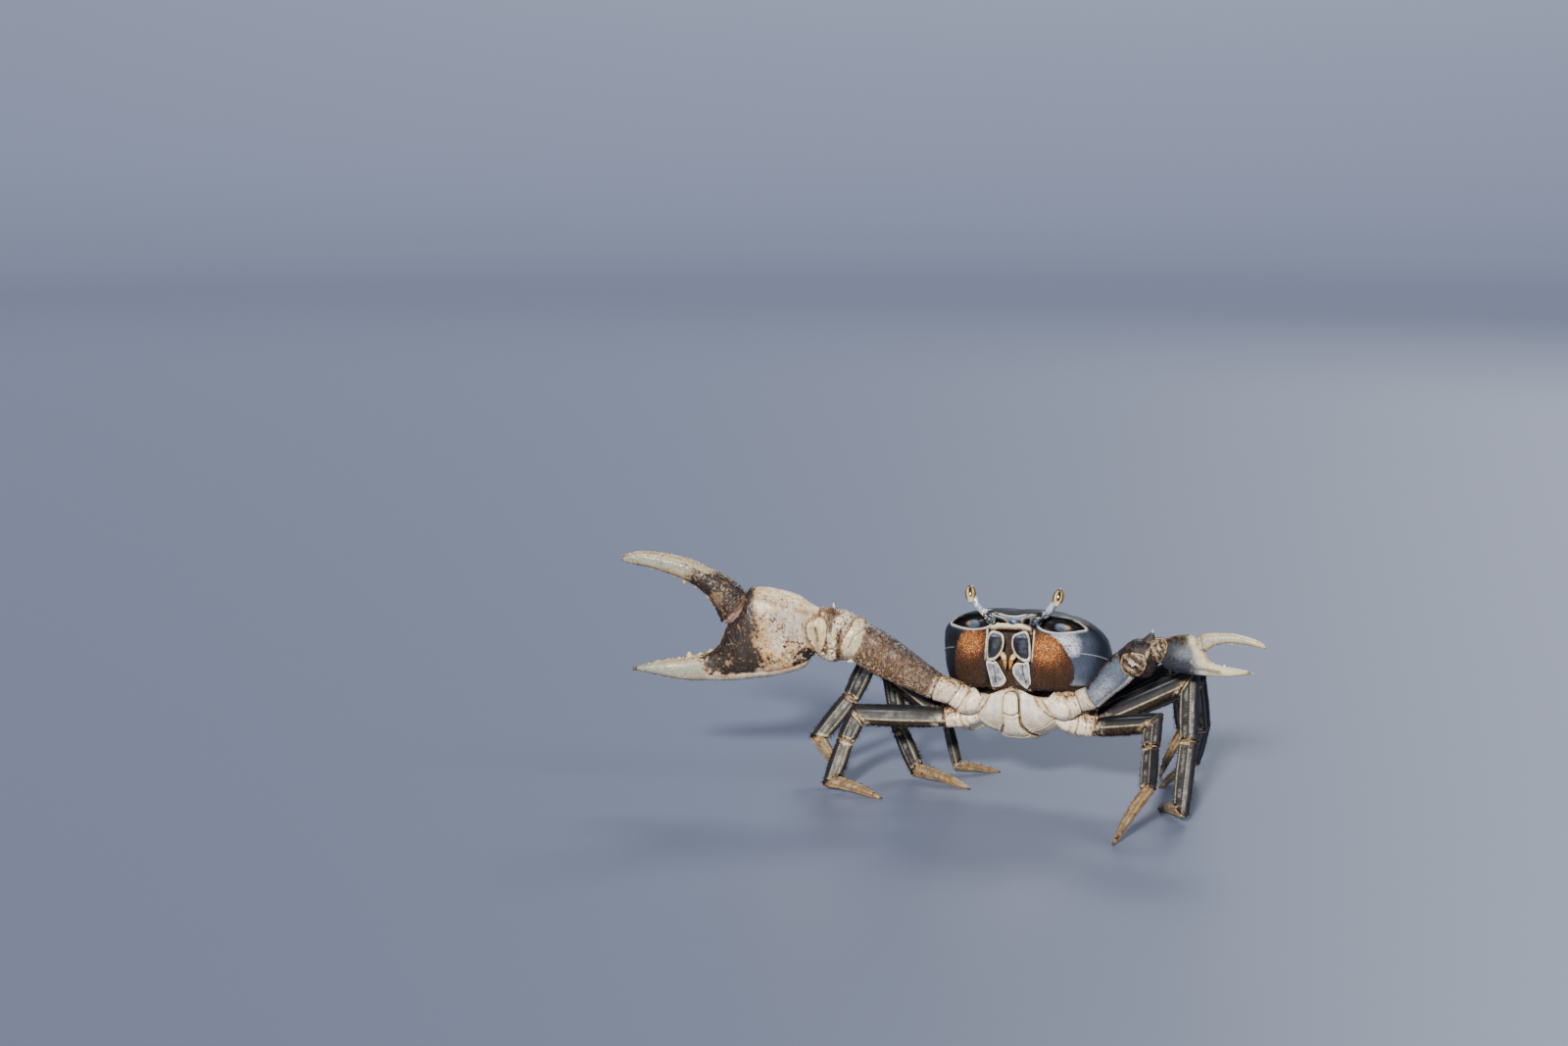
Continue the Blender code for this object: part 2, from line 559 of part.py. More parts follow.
# its movable finger: outer and inner edge points, half thickness at each, and teeth
FINGER_OUTER = [(39.0, 23.5), (45.5, 29.5), (55.0, 35.0), (67.5, 41.5), (80.0, 45.0), (92.0, 46.8),
                (101.5, 46.0), (106.0, 43.0)]
FINGER_INNER = [(52.3, 6.5), (56.5, 16.5), (61.5, 23.5), (71.0, 30.5), (82.0, 35.2), (92.0, 38.6),
                (100.5, 40.6), (105.4, 42.0)]
FINGER_THICK = [(0, 8.5), (1, 8.0), (2, 7.0), (3, 6.0), (4, 5.2), (5, 4.4), (6, 3.0), (7, 0.8)]
FINGER_TEETH = [(59, 20.0, 0.8), (65.5, 26.6, 1.0), (71.5, 30.8, 3.0), (77, 33.2, 1.0), (83, 35.6, 0.9),
                (89, 37.4, 0.8)]
FINGER_PIVOT = (50.5, 9.0)
KNUCKLE_REACH = 9.0            # how far the palm's knuckle goes back from the finger's hinge


class Grip:
    """The plane of one claw: a runs along it from the wrist, b up and c through its thickness."""

    def __init__(self, spec):
        self.axis = Vector(spec["axis"]).normalized()
        up = Vector(spec["up"])
        self.up = (up - self.axis * up.dot(self.axis)).normalized()
        self.across = self.axis.cross(self.up)
        self.size, self.tall = spec["size"], spec["tall"]
        self.gape = math.radians(spec["gape"])
        self.origin = on_floor(spec["wrist"])

    def at(self, a, b, c=0.0):
        return self.origin + (self.axis * a + self.up * (b * self.tall) + self.across * c) * self.size

    def swung(self, a, b, c=0.0):
        """The same point carried round the finger's hinge by the claw's gape."""
        da, db = a - FINGER_PIVOT[0], b - FINGER_PIVOT[1]
        return self.at(FINGER_PIVOT[0] + da * math.cos(self.gape) - db * math.sin(self.gape),
                       FINGER_PIVOT[1] + da * math.sin(self.gape) + db * math.cos(self.gape), c)

    def tooth(self, place, a, b, height, lean=0.0):
        """A blunt tooth at an edge point; a negative height points down."""
        root = math.copysign(TOOTH_ROOT, height)
        return cone(place(a - lean, b - root), place(a + lean, b + height), 2.4 * self.size, 0.9 * self.size)


def arm(side, spec, grip):
    """Ischium, merus and carpus, and the plane in which the palm meets the carpus."""
    reach = 0.7 + 0.3 * grip.size
    tall = CLAW_BASE * reach
    wide = tall * reach
    joints = [hip_of(side, 1)] + [on_floor(spec[key]) for key in ("ischium", "merus", "elbow", "wrist")]
    planes = joint_planes(joints + [joints[-1] + grip.axis])[1]
    sizes = {
        "ischium": [(0.0, tall * 0.95, tall * 0.8), (1.0, tall, tall * 0.85)],
        "merus": [(0.0, tall, tall * 0.85), (0.4, wide * 1.3, tall * 1.1), (0.75, wide * 1.55, tall * 1.2),
                  (1.0, wide * 1.5, tall * 1.1)],
        "carpus": [(0.0, wide * 1.5, tall * 1.1), (0.5, wide * 2.0, tall * 1.4),
                   (1.0, 13.5 * grip.size * grip.tall, 9.0 * grip.size)],
    }
    looks = {"ischium": IVORY, "merus": BROWN, "carpus": IVORY}
    for k, (name, widths) in enumerate(sizes.items()):
        obj = segment(f"claw_{side}_{name}", joints[k + 1], joints[k + 2], grip.across, planes[k:k + 2],
                      widths, looks[name], rows=3 if name == "ischium" else 6)
    middle = joints[3].lerp(joints[4], spec["spike"])
    point = middle + grip.up * (wide * 2.0 + SPIKE) + grip.axis * 2
    combine(obj, [cone(middle + grip.up * tall, point, 2.6)])
    return planes[3]


def claw(side, spec):
    grip = Grip(spec)
    face = arm(side, spec, grip)
    grip.origin += face * GAP / 2
    rings = []
    for a, top, low in PALM:
        thick = blend(PALM_THICK, a)
        rings.append([grip.at(a, (top + low) / 2 + s * (top - low) / 2, c * thick) for c, s in oval(14, 2.4)])
    rings[0] = [p - grip.axis * ((p - grip.origin).dot(face) / grip.axis.dot(face)) for p in rings[0]]
    palm = new_object(f"claw_{side}_palm", to_mesh(loft(rings), "palm"), IVORY)
    bits = [grip.tooth(grip.at, a, b, height) for a, b, height in PALM_TEETH]

    rings = []
    for k, (outer, inner) in enumerate(zip(FINGER_OUTER, FINGER_INNER)):
        middle = [(o + i) / 2 for o, i in zip(outer, inner)]
        half = [(o - i) / 2 for o, i in zip(outer, inner)]
        thick = blend(FINGER_THICK, k)
        rings.append([grip.swung(middle[0] + s * half[0], middle[1] + s * half[1], c * thick)
                      for c, s in oval(12, 2.3)])
    hinge = sum(rings[0], Vector()) / len(rings[0])
    inward = (grip.at(30, 6) - hinge).normalized()
    face = (rings[0][3] - rings[0][0]).cross(rings[0][6] - rings[0][0]).normalized()
    face *= math.copysign(1.0, face.dot(inward))
    bits.append(loft([[p + face * GAP for p in rings[0]],
                      [hinge + (p - hinge) * 0.8 + inward * (KNUCKLE_REACH * grip.size) for p in rings[0]]]))
    combine(palm, bits)
    finger = new_object(f"claw_{side}_finger", to_mesh(loft(rings), "finger"), HORN)
    combine(finger, [grip.tooth(grip.swung, a, b, -height, 0.8) for a, b, height in FINGER_TEETH])


def material(name, colour, roughness):
    mat = bpy.data.materials.new(name)
    mat.use_nodes = True
    shader = mat.node_tree.nodes["Principled BSDF"]
    shader.inputs["Base Color"].default_value = (*colour, 1)
    shader.inputs["Roughness"].default_value = roughness
    return mat


for old in list(bpy.data.objects):
    bpy.data.objects.remove(old)
CRAB = bpy.data.collections.new("blue_land_crab")
bpy.context.scene.collection.children.link(CRAB)
SLATE = material("slate_shell", (0.06, 0.08, 0.12), 0.4)
IVORY = material("ivory_shell", (0.72, 0.66, 0.52), 0.5)
BROWN = material("brown_shell", (0.16, 0.10, 0.07), 0.6)
PLATE = material("mouth_plate", (0.30, 0.36, 0.45), 0.4)
HORN = material("horn_tip", (0.50, 0.46, 0.36), 0.4)
AMBER = material("cornea", (0.30, 0.20, 0.05), 0.15)

carapace()
sternum()
abdomen()
for SIDE, SIGN in SIDES:
    maxilliped(SIDE, SIGN)
    eye(SIDE, SIGN)
    antenna(SIDE, SIGN)
    claw(SIDE, CLAWS[SIDE])
for KEY, JOINTS in LEGS.items():
    leg(KEY, JOINTS)
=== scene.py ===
# %% [markdown]
# # A blue land crab, life size
#
# The real animal is a big crab of mangrove mud: a smooth dark shell as wide as a hand, two claws of
# very different size, eight flat walking legs and two brown velvet cheeks beside the mouth. The
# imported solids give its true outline. This lesson puts a fine skin over each of them and paints it.
# Everything is measured in millimetres and written to Blender in metres.

# %% Load the frame
import math

import bpy
import numpy as np
from mathutils import Matrix, Vector


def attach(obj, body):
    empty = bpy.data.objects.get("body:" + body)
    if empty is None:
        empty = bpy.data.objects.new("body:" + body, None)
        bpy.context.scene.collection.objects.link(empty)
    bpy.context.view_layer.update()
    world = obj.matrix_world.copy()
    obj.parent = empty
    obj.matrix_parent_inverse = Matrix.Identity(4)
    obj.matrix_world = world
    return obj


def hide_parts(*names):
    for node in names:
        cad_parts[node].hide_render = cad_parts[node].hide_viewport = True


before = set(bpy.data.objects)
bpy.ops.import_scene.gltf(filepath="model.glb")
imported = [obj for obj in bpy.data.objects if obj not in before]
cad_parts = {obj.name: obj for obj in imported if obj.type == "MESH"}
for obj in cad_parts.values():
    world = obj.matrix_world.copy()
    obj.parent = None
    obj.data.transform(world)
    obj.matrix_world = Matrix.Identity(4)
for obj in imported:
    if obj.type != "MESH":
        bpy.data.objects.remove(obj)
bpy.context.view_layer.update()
MM = 0.001

# %% [markdown]
# ## Camera, floor and light
#
# A studio picture needs a viewpoint, something to stand on and soft light. The camera stands low
# and far off, as a person kneeling on a beach would hold a long lens. The floor could be one flat
# sheet, but its end would draw a line behind the crab. A wide shallow dish has none: it is flat where
# the legs stand and curves up far away. A low warm sun behind the camera shows the underside, as on
# a beach in the evening, and a weak cool one from behind draws the edges of the shell.

# %% Camera
CAMERA_AT = (-0.0833, -1.4145, 0.404)
CAMERA_TILT = math.radians(80.14)
camera_data = bpy.data.cameras.new("camera")
camera_data.lens = 60
camera_data.sensor_width = 36
camera_data.clip_start = 0.05
camera = bpy.data.objects.new("camera", camera_data)
camera.location = CAMERA_AT
camera.rotation_euler = (CAMERA_TILT, 0, 0)
bpy.context.scene.collection.objects.link(camera)
bpy.context.scene.camera = camera

# %% Floor
DISH = [(0.7, 0.0), (2.4, 0.0), (3.6, 0.0), (4.0, 0.05), (4.4, 0.25), (4.7, 0.62), (4.85, 1.1), (4.9, 1.7)]
SPOKES = 96
FLOOR_COLOUR, FLOOR_ROUGHNESS = (0.135, 0.165, 0.26, 1), 0.42
turns = 2 * math.pi * np.arange(SPOKES) / SPOKES
dish = [(0, 0, 0)] + [(r * math.cos(t), r * math.sin(t), z) for r, z in DISH for t in turns]
following = [(k + 1) % SPOKES for k in range(SPOKES)]
dish_faces = [(0, 1 + k, 1 + n) for k, n in enumerate(following)]
for ring in range(len(DISH) - 1):
    near, far = 1 + ring * SPOKES, 1 + (ring + 1) * SPOKES
    dish_faces += [(near + k, far + k, far + n, near + n) for k, n in enumerate(following)]
floor_mesh = bpy.data.meshes.new("floor")
floor_mesh.from_pydata(dish, [], dish_faces)
floor_mesh.polygons.foreach_set("use_smooth", [True] * len(dish_faces))
floor = bpy.data.objects.new("floor", floor_mesh)
bpy.context.scene.collection.objects.link(floor)
floor_paint = bpy.data.materials.new("pale_floor")
floor_paint.use_nodes = True
floor_shader = floor_paint.node_tree.nodes["Principled BSDF"]
floor_shader.inputs["Base Color"].default_value = FLOOR_COLOUR
floor_shader.inputs["Roughness"].default_value = FLOOR_ROUGHNESS
floor_mesh.materials.append(floor_paint)


# %% Lamps and sky
def sun(name, place, strength, softness, colour):
    """A distant soft lamp that shines from a direction."""
    data = bpy.data.lights.new(name, "SUN")
    data.energy, data.angle, data.color = strength, math.radians(softness), colour
    obj = bpy.data.objects.new(name, data)
    obj.rotation_euler = (-Vector(place)).to_track_quat("-Z", "Y").to_euler()
    bpy.context.scene.collection.objects.link(obj)


sun("key", (-0.3, -1.0, 0.55), 6.3, 7, (1.0, 0.92, 0.80))
sun("side", (1.0, -0.5, 0.9), 0.7, 25, (0.86, 0.93, 1.0))
sun("rim", (0.4, 1.0, 0.8), 1.1, 15, (0.9, 0.95, 1.0))
sky = bpy.data.worlds.new("soft_sky")
sky.use_nodes = True
sky.node_tree.nodes["Background"].inputs["Color"].default_value = (0.62, 0.68, 0.78, 1)
sky.node_tree.nodes["Background"].inputs["Strength"].default_value = 0.3
bpy.context.scene.world = sky

# %% [markdown]
# ## The frame of the body
#
# The crab stands with its face turned and tilted back. The body is easier to draw straight, with x
# to the crab's left, y to its rear and z up, and one matrix then sets it in the model. The same
# matrix and the same tables of the shell are behind the solids, so the fine skin fits over them.

# %% Body frame
PLACE = np.array((52.7, 28.5, 0.0))
BODY_CENTRE = np.array((2.5, 0.0, 83.0))
BODY_YAW, BODY_PITCH, BODY_ROLL = (math.radians(a) for a in (-22.5, -27.0, -2.0))
TURN = np.array(Matrix.Rotation(BODY_YAW, 3, "Z") @ Matrix.Rotation(BODY_PITCH, 3, "X")
                @ Matrix.Rotation(BODY_ROLL, 3, "Y"))


def on_body(points):
    """From the body's own frame to the model's, in millimetres."""
    return np.asarray(points, float) @ TURN.T + BODY_CENTRE + PLACE


def on_floor(point):
    return np.asarray(point, float) + PLACE


# %% [markdown]
# ## Tools for shaping
#
# A shell is a smooth form with small things on it: ridges, beads, pits. Modifiers could add them, but
# then a ridge can't follow a named line. Here each piece is a grid of points, and relief is a height
# in millimetres that is added along the normal. The same masks that raise a ridge also paint it.

# %% Curves and masks
def curve(table, t):
    """Smooth values at t between the rows (t, value, ...) of a table."""
    table, t = np.asarray(table, float), np.asarray(t, float)
    last = len(table) - 1
    k = np.clip(np.searchsorted(table[:, 0], t, side="right") - 1, 0, last - 1)
    p0, p1, p2, p3 = (table[np.clip(k + step, 0, last), 1:] for step in (-1, 0, 1, 2))
    f = np.clip((t - table[k, 0]) / (table[k + 1, 0] - table[k, 0]), 0, 1)[..., None]
    slope1, slope2 = (p2 - p0) / 2, (p3 - p1) / 2
    cubic = 2 * p1 - 2 * p2 + slope1 + slope2
    values = ((cubic * f + (3 * (p2 - p1) - 2 * slope1 - slope2)) * f + slope1) * f + p1
    return values[..., 0] if values.shape[-1] == 1 else values


def ease(x, low, high):
    """0 below low, 1 above high and a soft step between them."""
    f = np.clip((x - low) / (high - low), 0, 1)
    return f * f * (3 - 2 * f)


def bump(x, centre, width):
    """A soft hill of height 1, about as wide as twice the width."""
    return np.exp(-((x - centre) / width) ** 2)


def mix(one, two, mask):
    return one + (two - one) * np.asarray(mask)[..., None]


def tint(red, green, blue):
    """A colour as a paint shop names it, 0 to 255, turned into the light values that shaders use."""
    c = np.array((red, green, blue)) / 255
    return np.where(c < 0.04045, c / 12.92, ((c + 0.055) / 1.055) ** 2.4)


def unit(v):
    v = np.asarray(v, float)
    return v / np.maximum(np.linalg.norm(v, axis=-1, keepdims=True), 1e-9)


# %% Clouds
CLOUD_LAYERS = 3
PRIMES, MIXER, WORD = (374761393, 668265263, 1440662683), 1274126177, 0xFFFFFFFF


def lattice(q, seed):
    """Random values from 0 to 1 that belong to whole-number places."""
    h = (sum(q[..., k] * prime for k, prime in enumerate(PRIMES)) + seed * MIXER) & WORD
    h = ((h ^ (h >> 13)) * MIXER) & WORD
    return ((h ^ (h >> 16)) & 0xFFFF) / 65535.0


def cloud(points, size, seed=1):
    """Smooth random values from about -1 to 1 that change over size millimetres."""
    total, weight = 0.0, 0.0
    for layer in range(CLOUD_LAYERS):
        q = np.asarray(points, float) / size * 2 ** layer + 11.7 * seed
        base = np.floor(q).astype(np.int64)
        f = q - base
        f = f * f * (3 - 2 * f)
        value = 0.0
        for corner in range(8):
            step = np.array((corner & 1, corner >> 1 & 1, corner >> 2 & 1))
            share = np.prod(np.where(step, f, 1 - f), axis=-1)
            value = value + share * lattice(base + step, seed + layer)
        amount = 0.5 ** layer
        total, weight = total + amount * value, weight + amount
    return np.clip((2 * total / weight - 1) * 1.7, -1, 1)


# %% Outlines
def closed_curve(points, per=8):
    """A smooth closed line through some points."""
    p = np.asarray(points, float)
    n = len(p)
    table = np.column_stack([np.arange(-1, n + 2), p[np.arange(-1, n + 2) % n]])
    return curve(table, np.arange(n * per) / per)


def line_distance(q, path, closed=False):
    """How far each point of q lies from a line of points, in the line's own number of axes."""
    path = np.asarray(path, float)
    ends = np.roll(path, -1, 0) if closed else path[1:]
    best = np.full(q.shape[:-1], 1e9)
    for a, b in zip(path if closed else path[:-1], ends):
        run = b - a
        f = np.clip(((q - a) @ run) / max(run @ run, 1e-9), 0, 1)
        best = np.minimum(best, np.linalg.norm(q - (a + f[..., None] * run), axis=-1))
    return best


def depth_in(q, outline):
    """Distance of flat points from a closed outline, above zero inside it."""
    path = np.asarray(outline, float)
    crossings = np.zeros(q.shape[:-1], int)
    for a, b in zip(path, np.roll(path, -1, 0)):
        level = (a[1] > q[..., 1]) != (b[1] > q[..., 1])
        side = (b[0] - a[0]) * (q[..., 1] - a[1]) / (b[1] - a[1] if b[1] != a[1] else 1e-9) + a[0]
        crossings += level & (q[..., 0] < side)
    return line_distance(q, path, True) * np.where(crossings % 2, 1, -1)


# %% Skin: a grid of points with paint on it
class Skin:
    """Rows of points along a piece, each row going round it, with their paint."""

    def __init__(self, points):
        self.points = np.array(points, float)
        shape = self.points.shape[:2]
        self.colour = np.full(shape + (3,), 0.5)
        self.speck, self.crack, self.stain = np.zeros(shape), np.zeros(shape), np.zeros(shape)
        self.wet = np.full(shape, 0.5)

    def outward(self):
        """From the middle of its row to each point."""
        return self.points - self.points.mean(axis=1, keepdims=True)

    def cells(self):
        """The normal at each point, as long as the area that belongs to it."""
        around = np.roll(self.points, -1, 1) - np.roll(self.points, 1, 1)
        return np.cross(np.gradient(self.points, axis=0), around)

    def normals(self):
        n = unit(self.cells())
        return n * np.sign(np.sum(n * self.outward()))

    def cloud(self, size, seed):
        return cloud(self.points, size, seed)

    def lift(self, height):
        self.points = self.points + self.normals() * np.asarray(height)[..., None]

    def dye(self, colour, mask=1.0):
        """Paint a colour, given as tint takes it, where a mask is set."""
        self.colour = mix(self.colour, tint(*colour), np.clip(mask, 0, 1) * np.ones(self.speck.shape))

    def shape(self):
        """The grid as points, faces and paint, closed with a fan at each end."""
        rows, columns = self.points.shape[:2]
        r = np.arange(rows - 1)[:, None]
        c = np.arange(columns)[None, :]
        a, b = r * columns + c, r * columns + (c + 1) % columns
        faces = np.stack([a, b, b + columns, a + columns], -1).reshape(-1, 4).tolist()
        points = self.points.reshape(-1, 3)
        paint = [self.colour.reshape(-1, 3)]
        paint += [mask.ravel() for mask in (self.speck, self.crack, self.wet, self.stain)]
        for row, flip in ((0, True), (rows - 1, False)):
            middle = np.full(columns, len(points))
            points = np.vstack([points, self.points[row].mean(axis=0)])
            paint = [np.concatenate([p, p[row * columns:row * columns + 1]]) for p in paint]
            k = row * columns + np.arange(columns)
            n = row * columns + (np.arange(columns) + 1) % columns
            faces += np.stack([n, k, middle] if flip else [k, n, middle], -1).tolist()
        if np.sum(self.cells() * self.outward()) > 0:
            faces = [face[::-1] for face in faces]
        return points, faces, paint


# %% Pieces
def new_piece(name, shapes, material, nodes=()):
    """One Blender object from several shapes. It rides on the body and stands for its solids."""
    points, faces, paints, places, start = [], [], [], [], 0
    for shape in shapes:
        p, f, paint, *place = shape.shape() if isinstance(shape, Skin) else shape
        places += place
        points.append(p)
        faces += [[k + start for k in face] for face in f] if start else f
        paints.append(paint)
        start += len(p)
    mesh = bpy.data.meshes.new(name)
    mesh.from_pydata((np.vstack(points) * MM).tolist(), [], faces)
    colour, speck, crack, wet, stain = (np.concatenate(column) for column in zip(*paints))
    mesh.attributes.new("paint", "FLOAT_COLOR", "POINT").data.foreach_set(
        "color", np.column_stack([colour, np.ones(len(colour))]).astype(np.float32).ravel())
    for key, values in (("speck", speck), ("crack", crack), ("wet", wet), ("stain", stain)):
        mesh.attributes.new(key, "FLOAT", "POINT").data.foreach_set("value", values.astype(np.float32))
    mesh.polygons.foreach_set("use_smooth", np.full(len(mesh.polygons), True))
    mesh.materials.append(material)
    if places:
        corners = np.empty(len(mesh.loops), np.int32)
        mesh.loops.foreach_get("vertex_index", corners)
        tuft_layer = mesh.uv_layers.new(name="OFBake")
        tuft_layer.data.foreach_set("uv", np.concatenate(places)[corners].astype(np.float32).ravel())
    mesh.update()
    obj = bpy.data.objects.new(name, mesh)
    bpy.context.scene.collection.objects.link(obj)
    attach(obj, "root")
    if nodes:
        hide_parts(*nodes)
    print(f"{name}: {len(mesh.vertices)} points")
    return obj


def oval(columns, power):
    """Angles round a section, with the cosine and sine of a rounded box at each."""
    angle = 2 * math.pi * (np.arange(columns) + 0.5) / columns
    cos, sin = (np.sign(v) * np.abs(v) ** (2 / power) for v in (np.cos(angle), np.sin(angle)))
    return angle, cos, sin


def tube_skin(spine, sizes, side, first=None, last=None, columns=40, power=2.3):
    """A skin round a line of points. sizes holds half height and half thickness at each point, side
    is the thickness direction, and first and last are the normals of the two end faces."""
    spine, sizes, side = (np.asarray(v, float) for v in (spine, sizes, side))
    count = len(spine)
    along = unit(np.gradient(spine, axis=0))
    across = unit(side - along * (along @ side)[:, None])
    top = np.cross(across, along)
    angle, c, s = oval(columns, power)
    offset = across[:, None] * (sizes[:, 1:2] * c)[..., None] + top[:, None] * (sizes[:, 0:1] * s)[..., None]
    t = np.linspace(0, 1, count)
    for k in range(count):
        face, slant = (first, 1 - 2 * t[k]) if t[k] < 0.5 else (last, 2 * t[k] - 1)
        if face is not None:
            face = np.asarray(face, float)
            offset[k] -= along[k] * (slant * (offset[k] @ face) / (along[k] @ face))[:, None]
    skin = Skin(spine[:, None] + offset)
    skin.t, skin.angle, skin.cos, skin.sin = t[:, None], angle[None, :], c[None, :], s[None, :]
    skin.top = top
    return skin


# %% [markdown]
# ## Shell materials
#
# Crab shell is one substance in many colours: a hard, slightly waxy skin with clouds of pigment,
# fine dark specks and a grain like eggshell. Image textures could carry that, but they would need a
# flat map of every leg. Here five small node groups make the effects once, from the position on the
# object. Each material then places them with its own sizes and colours. The broad areas of colour
# are painted on the points themselves, where the ridges are known.

# %% Node helpers
def group(name, inputs, outputs):
    """An empty shader group with named sockets, and its own sockets for what goes in and out."""
    tree = bpy.data.node_groups.new(name, "ShaderNodeTree")
    for label, value in inputs.items():
        kind = "NodeSocketColor" if isinstance(value, tuple) else "NodeSocketFloat"
        tree.interface.new_socket(name=label, in_out="INPUT", socket_type=kind).default_value = value
    for label, kind in outputs.items():
        tree.interface.new_socket(name=label, in_out="OUTPUT", socket_type="NodeSocket" + kind)
    return tree, tree.nodes.new("NodeGroupInput").outputs, tree.nodes.new("NodeGroupOutput").inputs


def node(tree, kind, links=(), **settings):
    """A node with settings, and links given as {input: output socket or plain value}."""
    made = tree.nodes.new("ShaderNode" + kind)
    for key, value in settings.items():
        setattr(made, key, value)
    for key, value in dict(links).items():
        if isinstance(value, bpy.types.NodeSocket):
            tree.links.new(value, made.inputs[key])
        else:
            made.inputs[key].default_value = value
    return made


def place_of(tree):
    return node(tree, "TexCoord").outputs["Object"]


def noise(tree, scale, detail, roughness=0.5, output="Fac"):
    links = {"Vector": place_of(tree), "Scale": scale, "Detail": detail, "Roughness": roughness}
    return node(tree, "TexNoise", links).outputs[output]


def crumbled(tree, scale, detail, by, operation, amount):
    """The place on the object, pushed about a little by noise."""
    shift = node(tree, "VectorMath", {0: noise(tree, scale, detail, output="Color"), by: amount},
                 operation=operation)
    return node(tree, "VectorMath", {0: place_of(tree), 1: shift.outputs[0]}, operation="ADD").outputs[0]


def maths(tree, operation, one, two, **settings):
    return node(tree, "Math", {0: one, 1: two}, operation=operation, **settings).outputs[0]


def remap(tree, value, low, high, first, last):
    """The range from low to high turned into the range from first to last."""
    return node(tree, "MapRange", {0: value, 1: low, 2: high, 3: first, 4: last}).outputs[0]


def blend(tree, share, one, two):
    return node(tree, "MixRGB", {0: share, 1: one, 2: two}).outputs[0]


def painted(tree, name, output="Fac"):
    """What is painted on the points under a name."""
    return node(tree, "Attribute", attribute_name=name, attribute_type="GEOMETRY").outputs[output]


# %% Group: clouds of pigment
clouds, given, result = group(
    "pigment_clouds",
    {"Colour": (0.5, 0.5, 0.5, 1), "Deep": (0.1, 0.1, 0.1, 1), "Amount": 0.4, "Scale": 150.0},
    {"Colour": "Color"})
spread = remap(clouds, noise(clouds, given["Scale"], 5.0, 0.62), 0.38, 0.72, 0.0, 1.0)
share = maths(clouds, "MULTIPLY", spread, given["Amount"])
pigment = blend(clouds, share, given["Colour"], given["Deep"])
shade = remap(clouds, noise(clouds, 1100.0, 5.0, 0.75), 0.3, 0.7, 0.62, 1.3)
gritty = node(clouds, "VectorMath", {0: pigment, "Scale": shade}, operation="SCALE")
clouds.links.new(gritty.outputs[0], result["Colour"])

# %% Group: specks
specks, given, result = group("fine_specks", {"Scale": 900.0, "Reach": 0.35}, {"Mask": "Float"})
finer = maths(specks, "MULTIPLY", given["Scale"], 1.7)
away = maths(specks, "DIVIDE", 0.9, given["Scale"])
moved = crumbled(specks, finer, 3.0, "Scale", "SCALE", away)
cells = node(specks, "TexVoronoi", {"Vector": moved, "Scale": given["Scale"]})
luck = node(specks, "SeparateColor", {0: cells.outputs["Color"]}).outputs[0]
coarser = maths(specks, "MULTIPLY", given["Scale"], 0.16)
crowded = remap(specks, noise(specks, coarser, 2.0), 0.36, 0.64, 0.15, 1.25)
reach = maths(specks, "MULTIPLY", maths(specks, "MULTIPLY", luck, crowded), given["Reach"])
inner = maths(specks, "MULTIPLY", reach, 0.55)
specks.links.new(remap(specks, cells.outputs["Distance"], inner, reach, 1.0, 0.0), result["Mask"])

# %% Group: fine cracks
cracks, given, result = group("fine_cracks", {"Scale": 220.0, "Width": 0.05}, {"Mask": "Float"})
moved = crumbled(cracks, given["Scale"], 4.0, 1, "MULTIPLY", (0.004, 0.004, 0.004))
cells = node(cracks, "TexVoronoi", {"Vector": moved, "Scale": given["Scale"]}, feature="DISTANCE_TO_EDGE")
cracks.links.new(remap(cracks, cells.outputs["Distance"], 0.0, given["Width"], 1.0, 0.0), result["Mask"])

# %% Group: worn stains, with a halo round each
stains, given, result = group("worn_stain", {"Scale": 450.0, "Amount": 0.0},
                              {"Mask": "Float", "Halo": "Float"})
wear = noise(stains, given["Scale"], 7.0, 0.68)
limit = remap(stains, given["Amount"], 0.0, 1.0, 0.76, 0.3)
for label, before, beyond in (("Mask", 0.0, 0.045), ("Halo", -0.075, 0.0)):
    low, high = (maths(stains, "ADD", limit, step) for step in (before, beyond))
    stains.links.new(remap(stains, wear, low, high, 0.0, 1.0), result[label])

# %% Group: grain, for the bump and the gloss
grain, given, result = group(
    "shell_grain", {"Scale": 1500.0, "Pebbles": 0.4, "Smooth": 0.3, "Rough": 0.5},
    {"Height": "Float", "Roughness": "Float"})
pebble = node(grain, "TexVoronoi", {"Vector": place_of(grain), "Scale": given["Scale"]}, feature="SMOOTH_F1")
raised = maths(grain, "MULTIPLY", pebble.outputs["Distance"], given["Pebbles"])
height = maths(grain, "SUBTRACT", noise(grain, given["Scale"], 3.0), raised)
rough = remap(grain, noise(grain, 180.0, 4.0), 0.35, 0.68, given["Smooth"], given["Rough"])
grain.links.new(height, result["Height"])
grain.links.new(rough, result["Roughness"])

# %% One recipe for all shell
CRACK_SIZE, CRACK_WIDTH, CRACK_DEPTH = 5.0, 0.05, 0.8
PEBBLES = 0.4


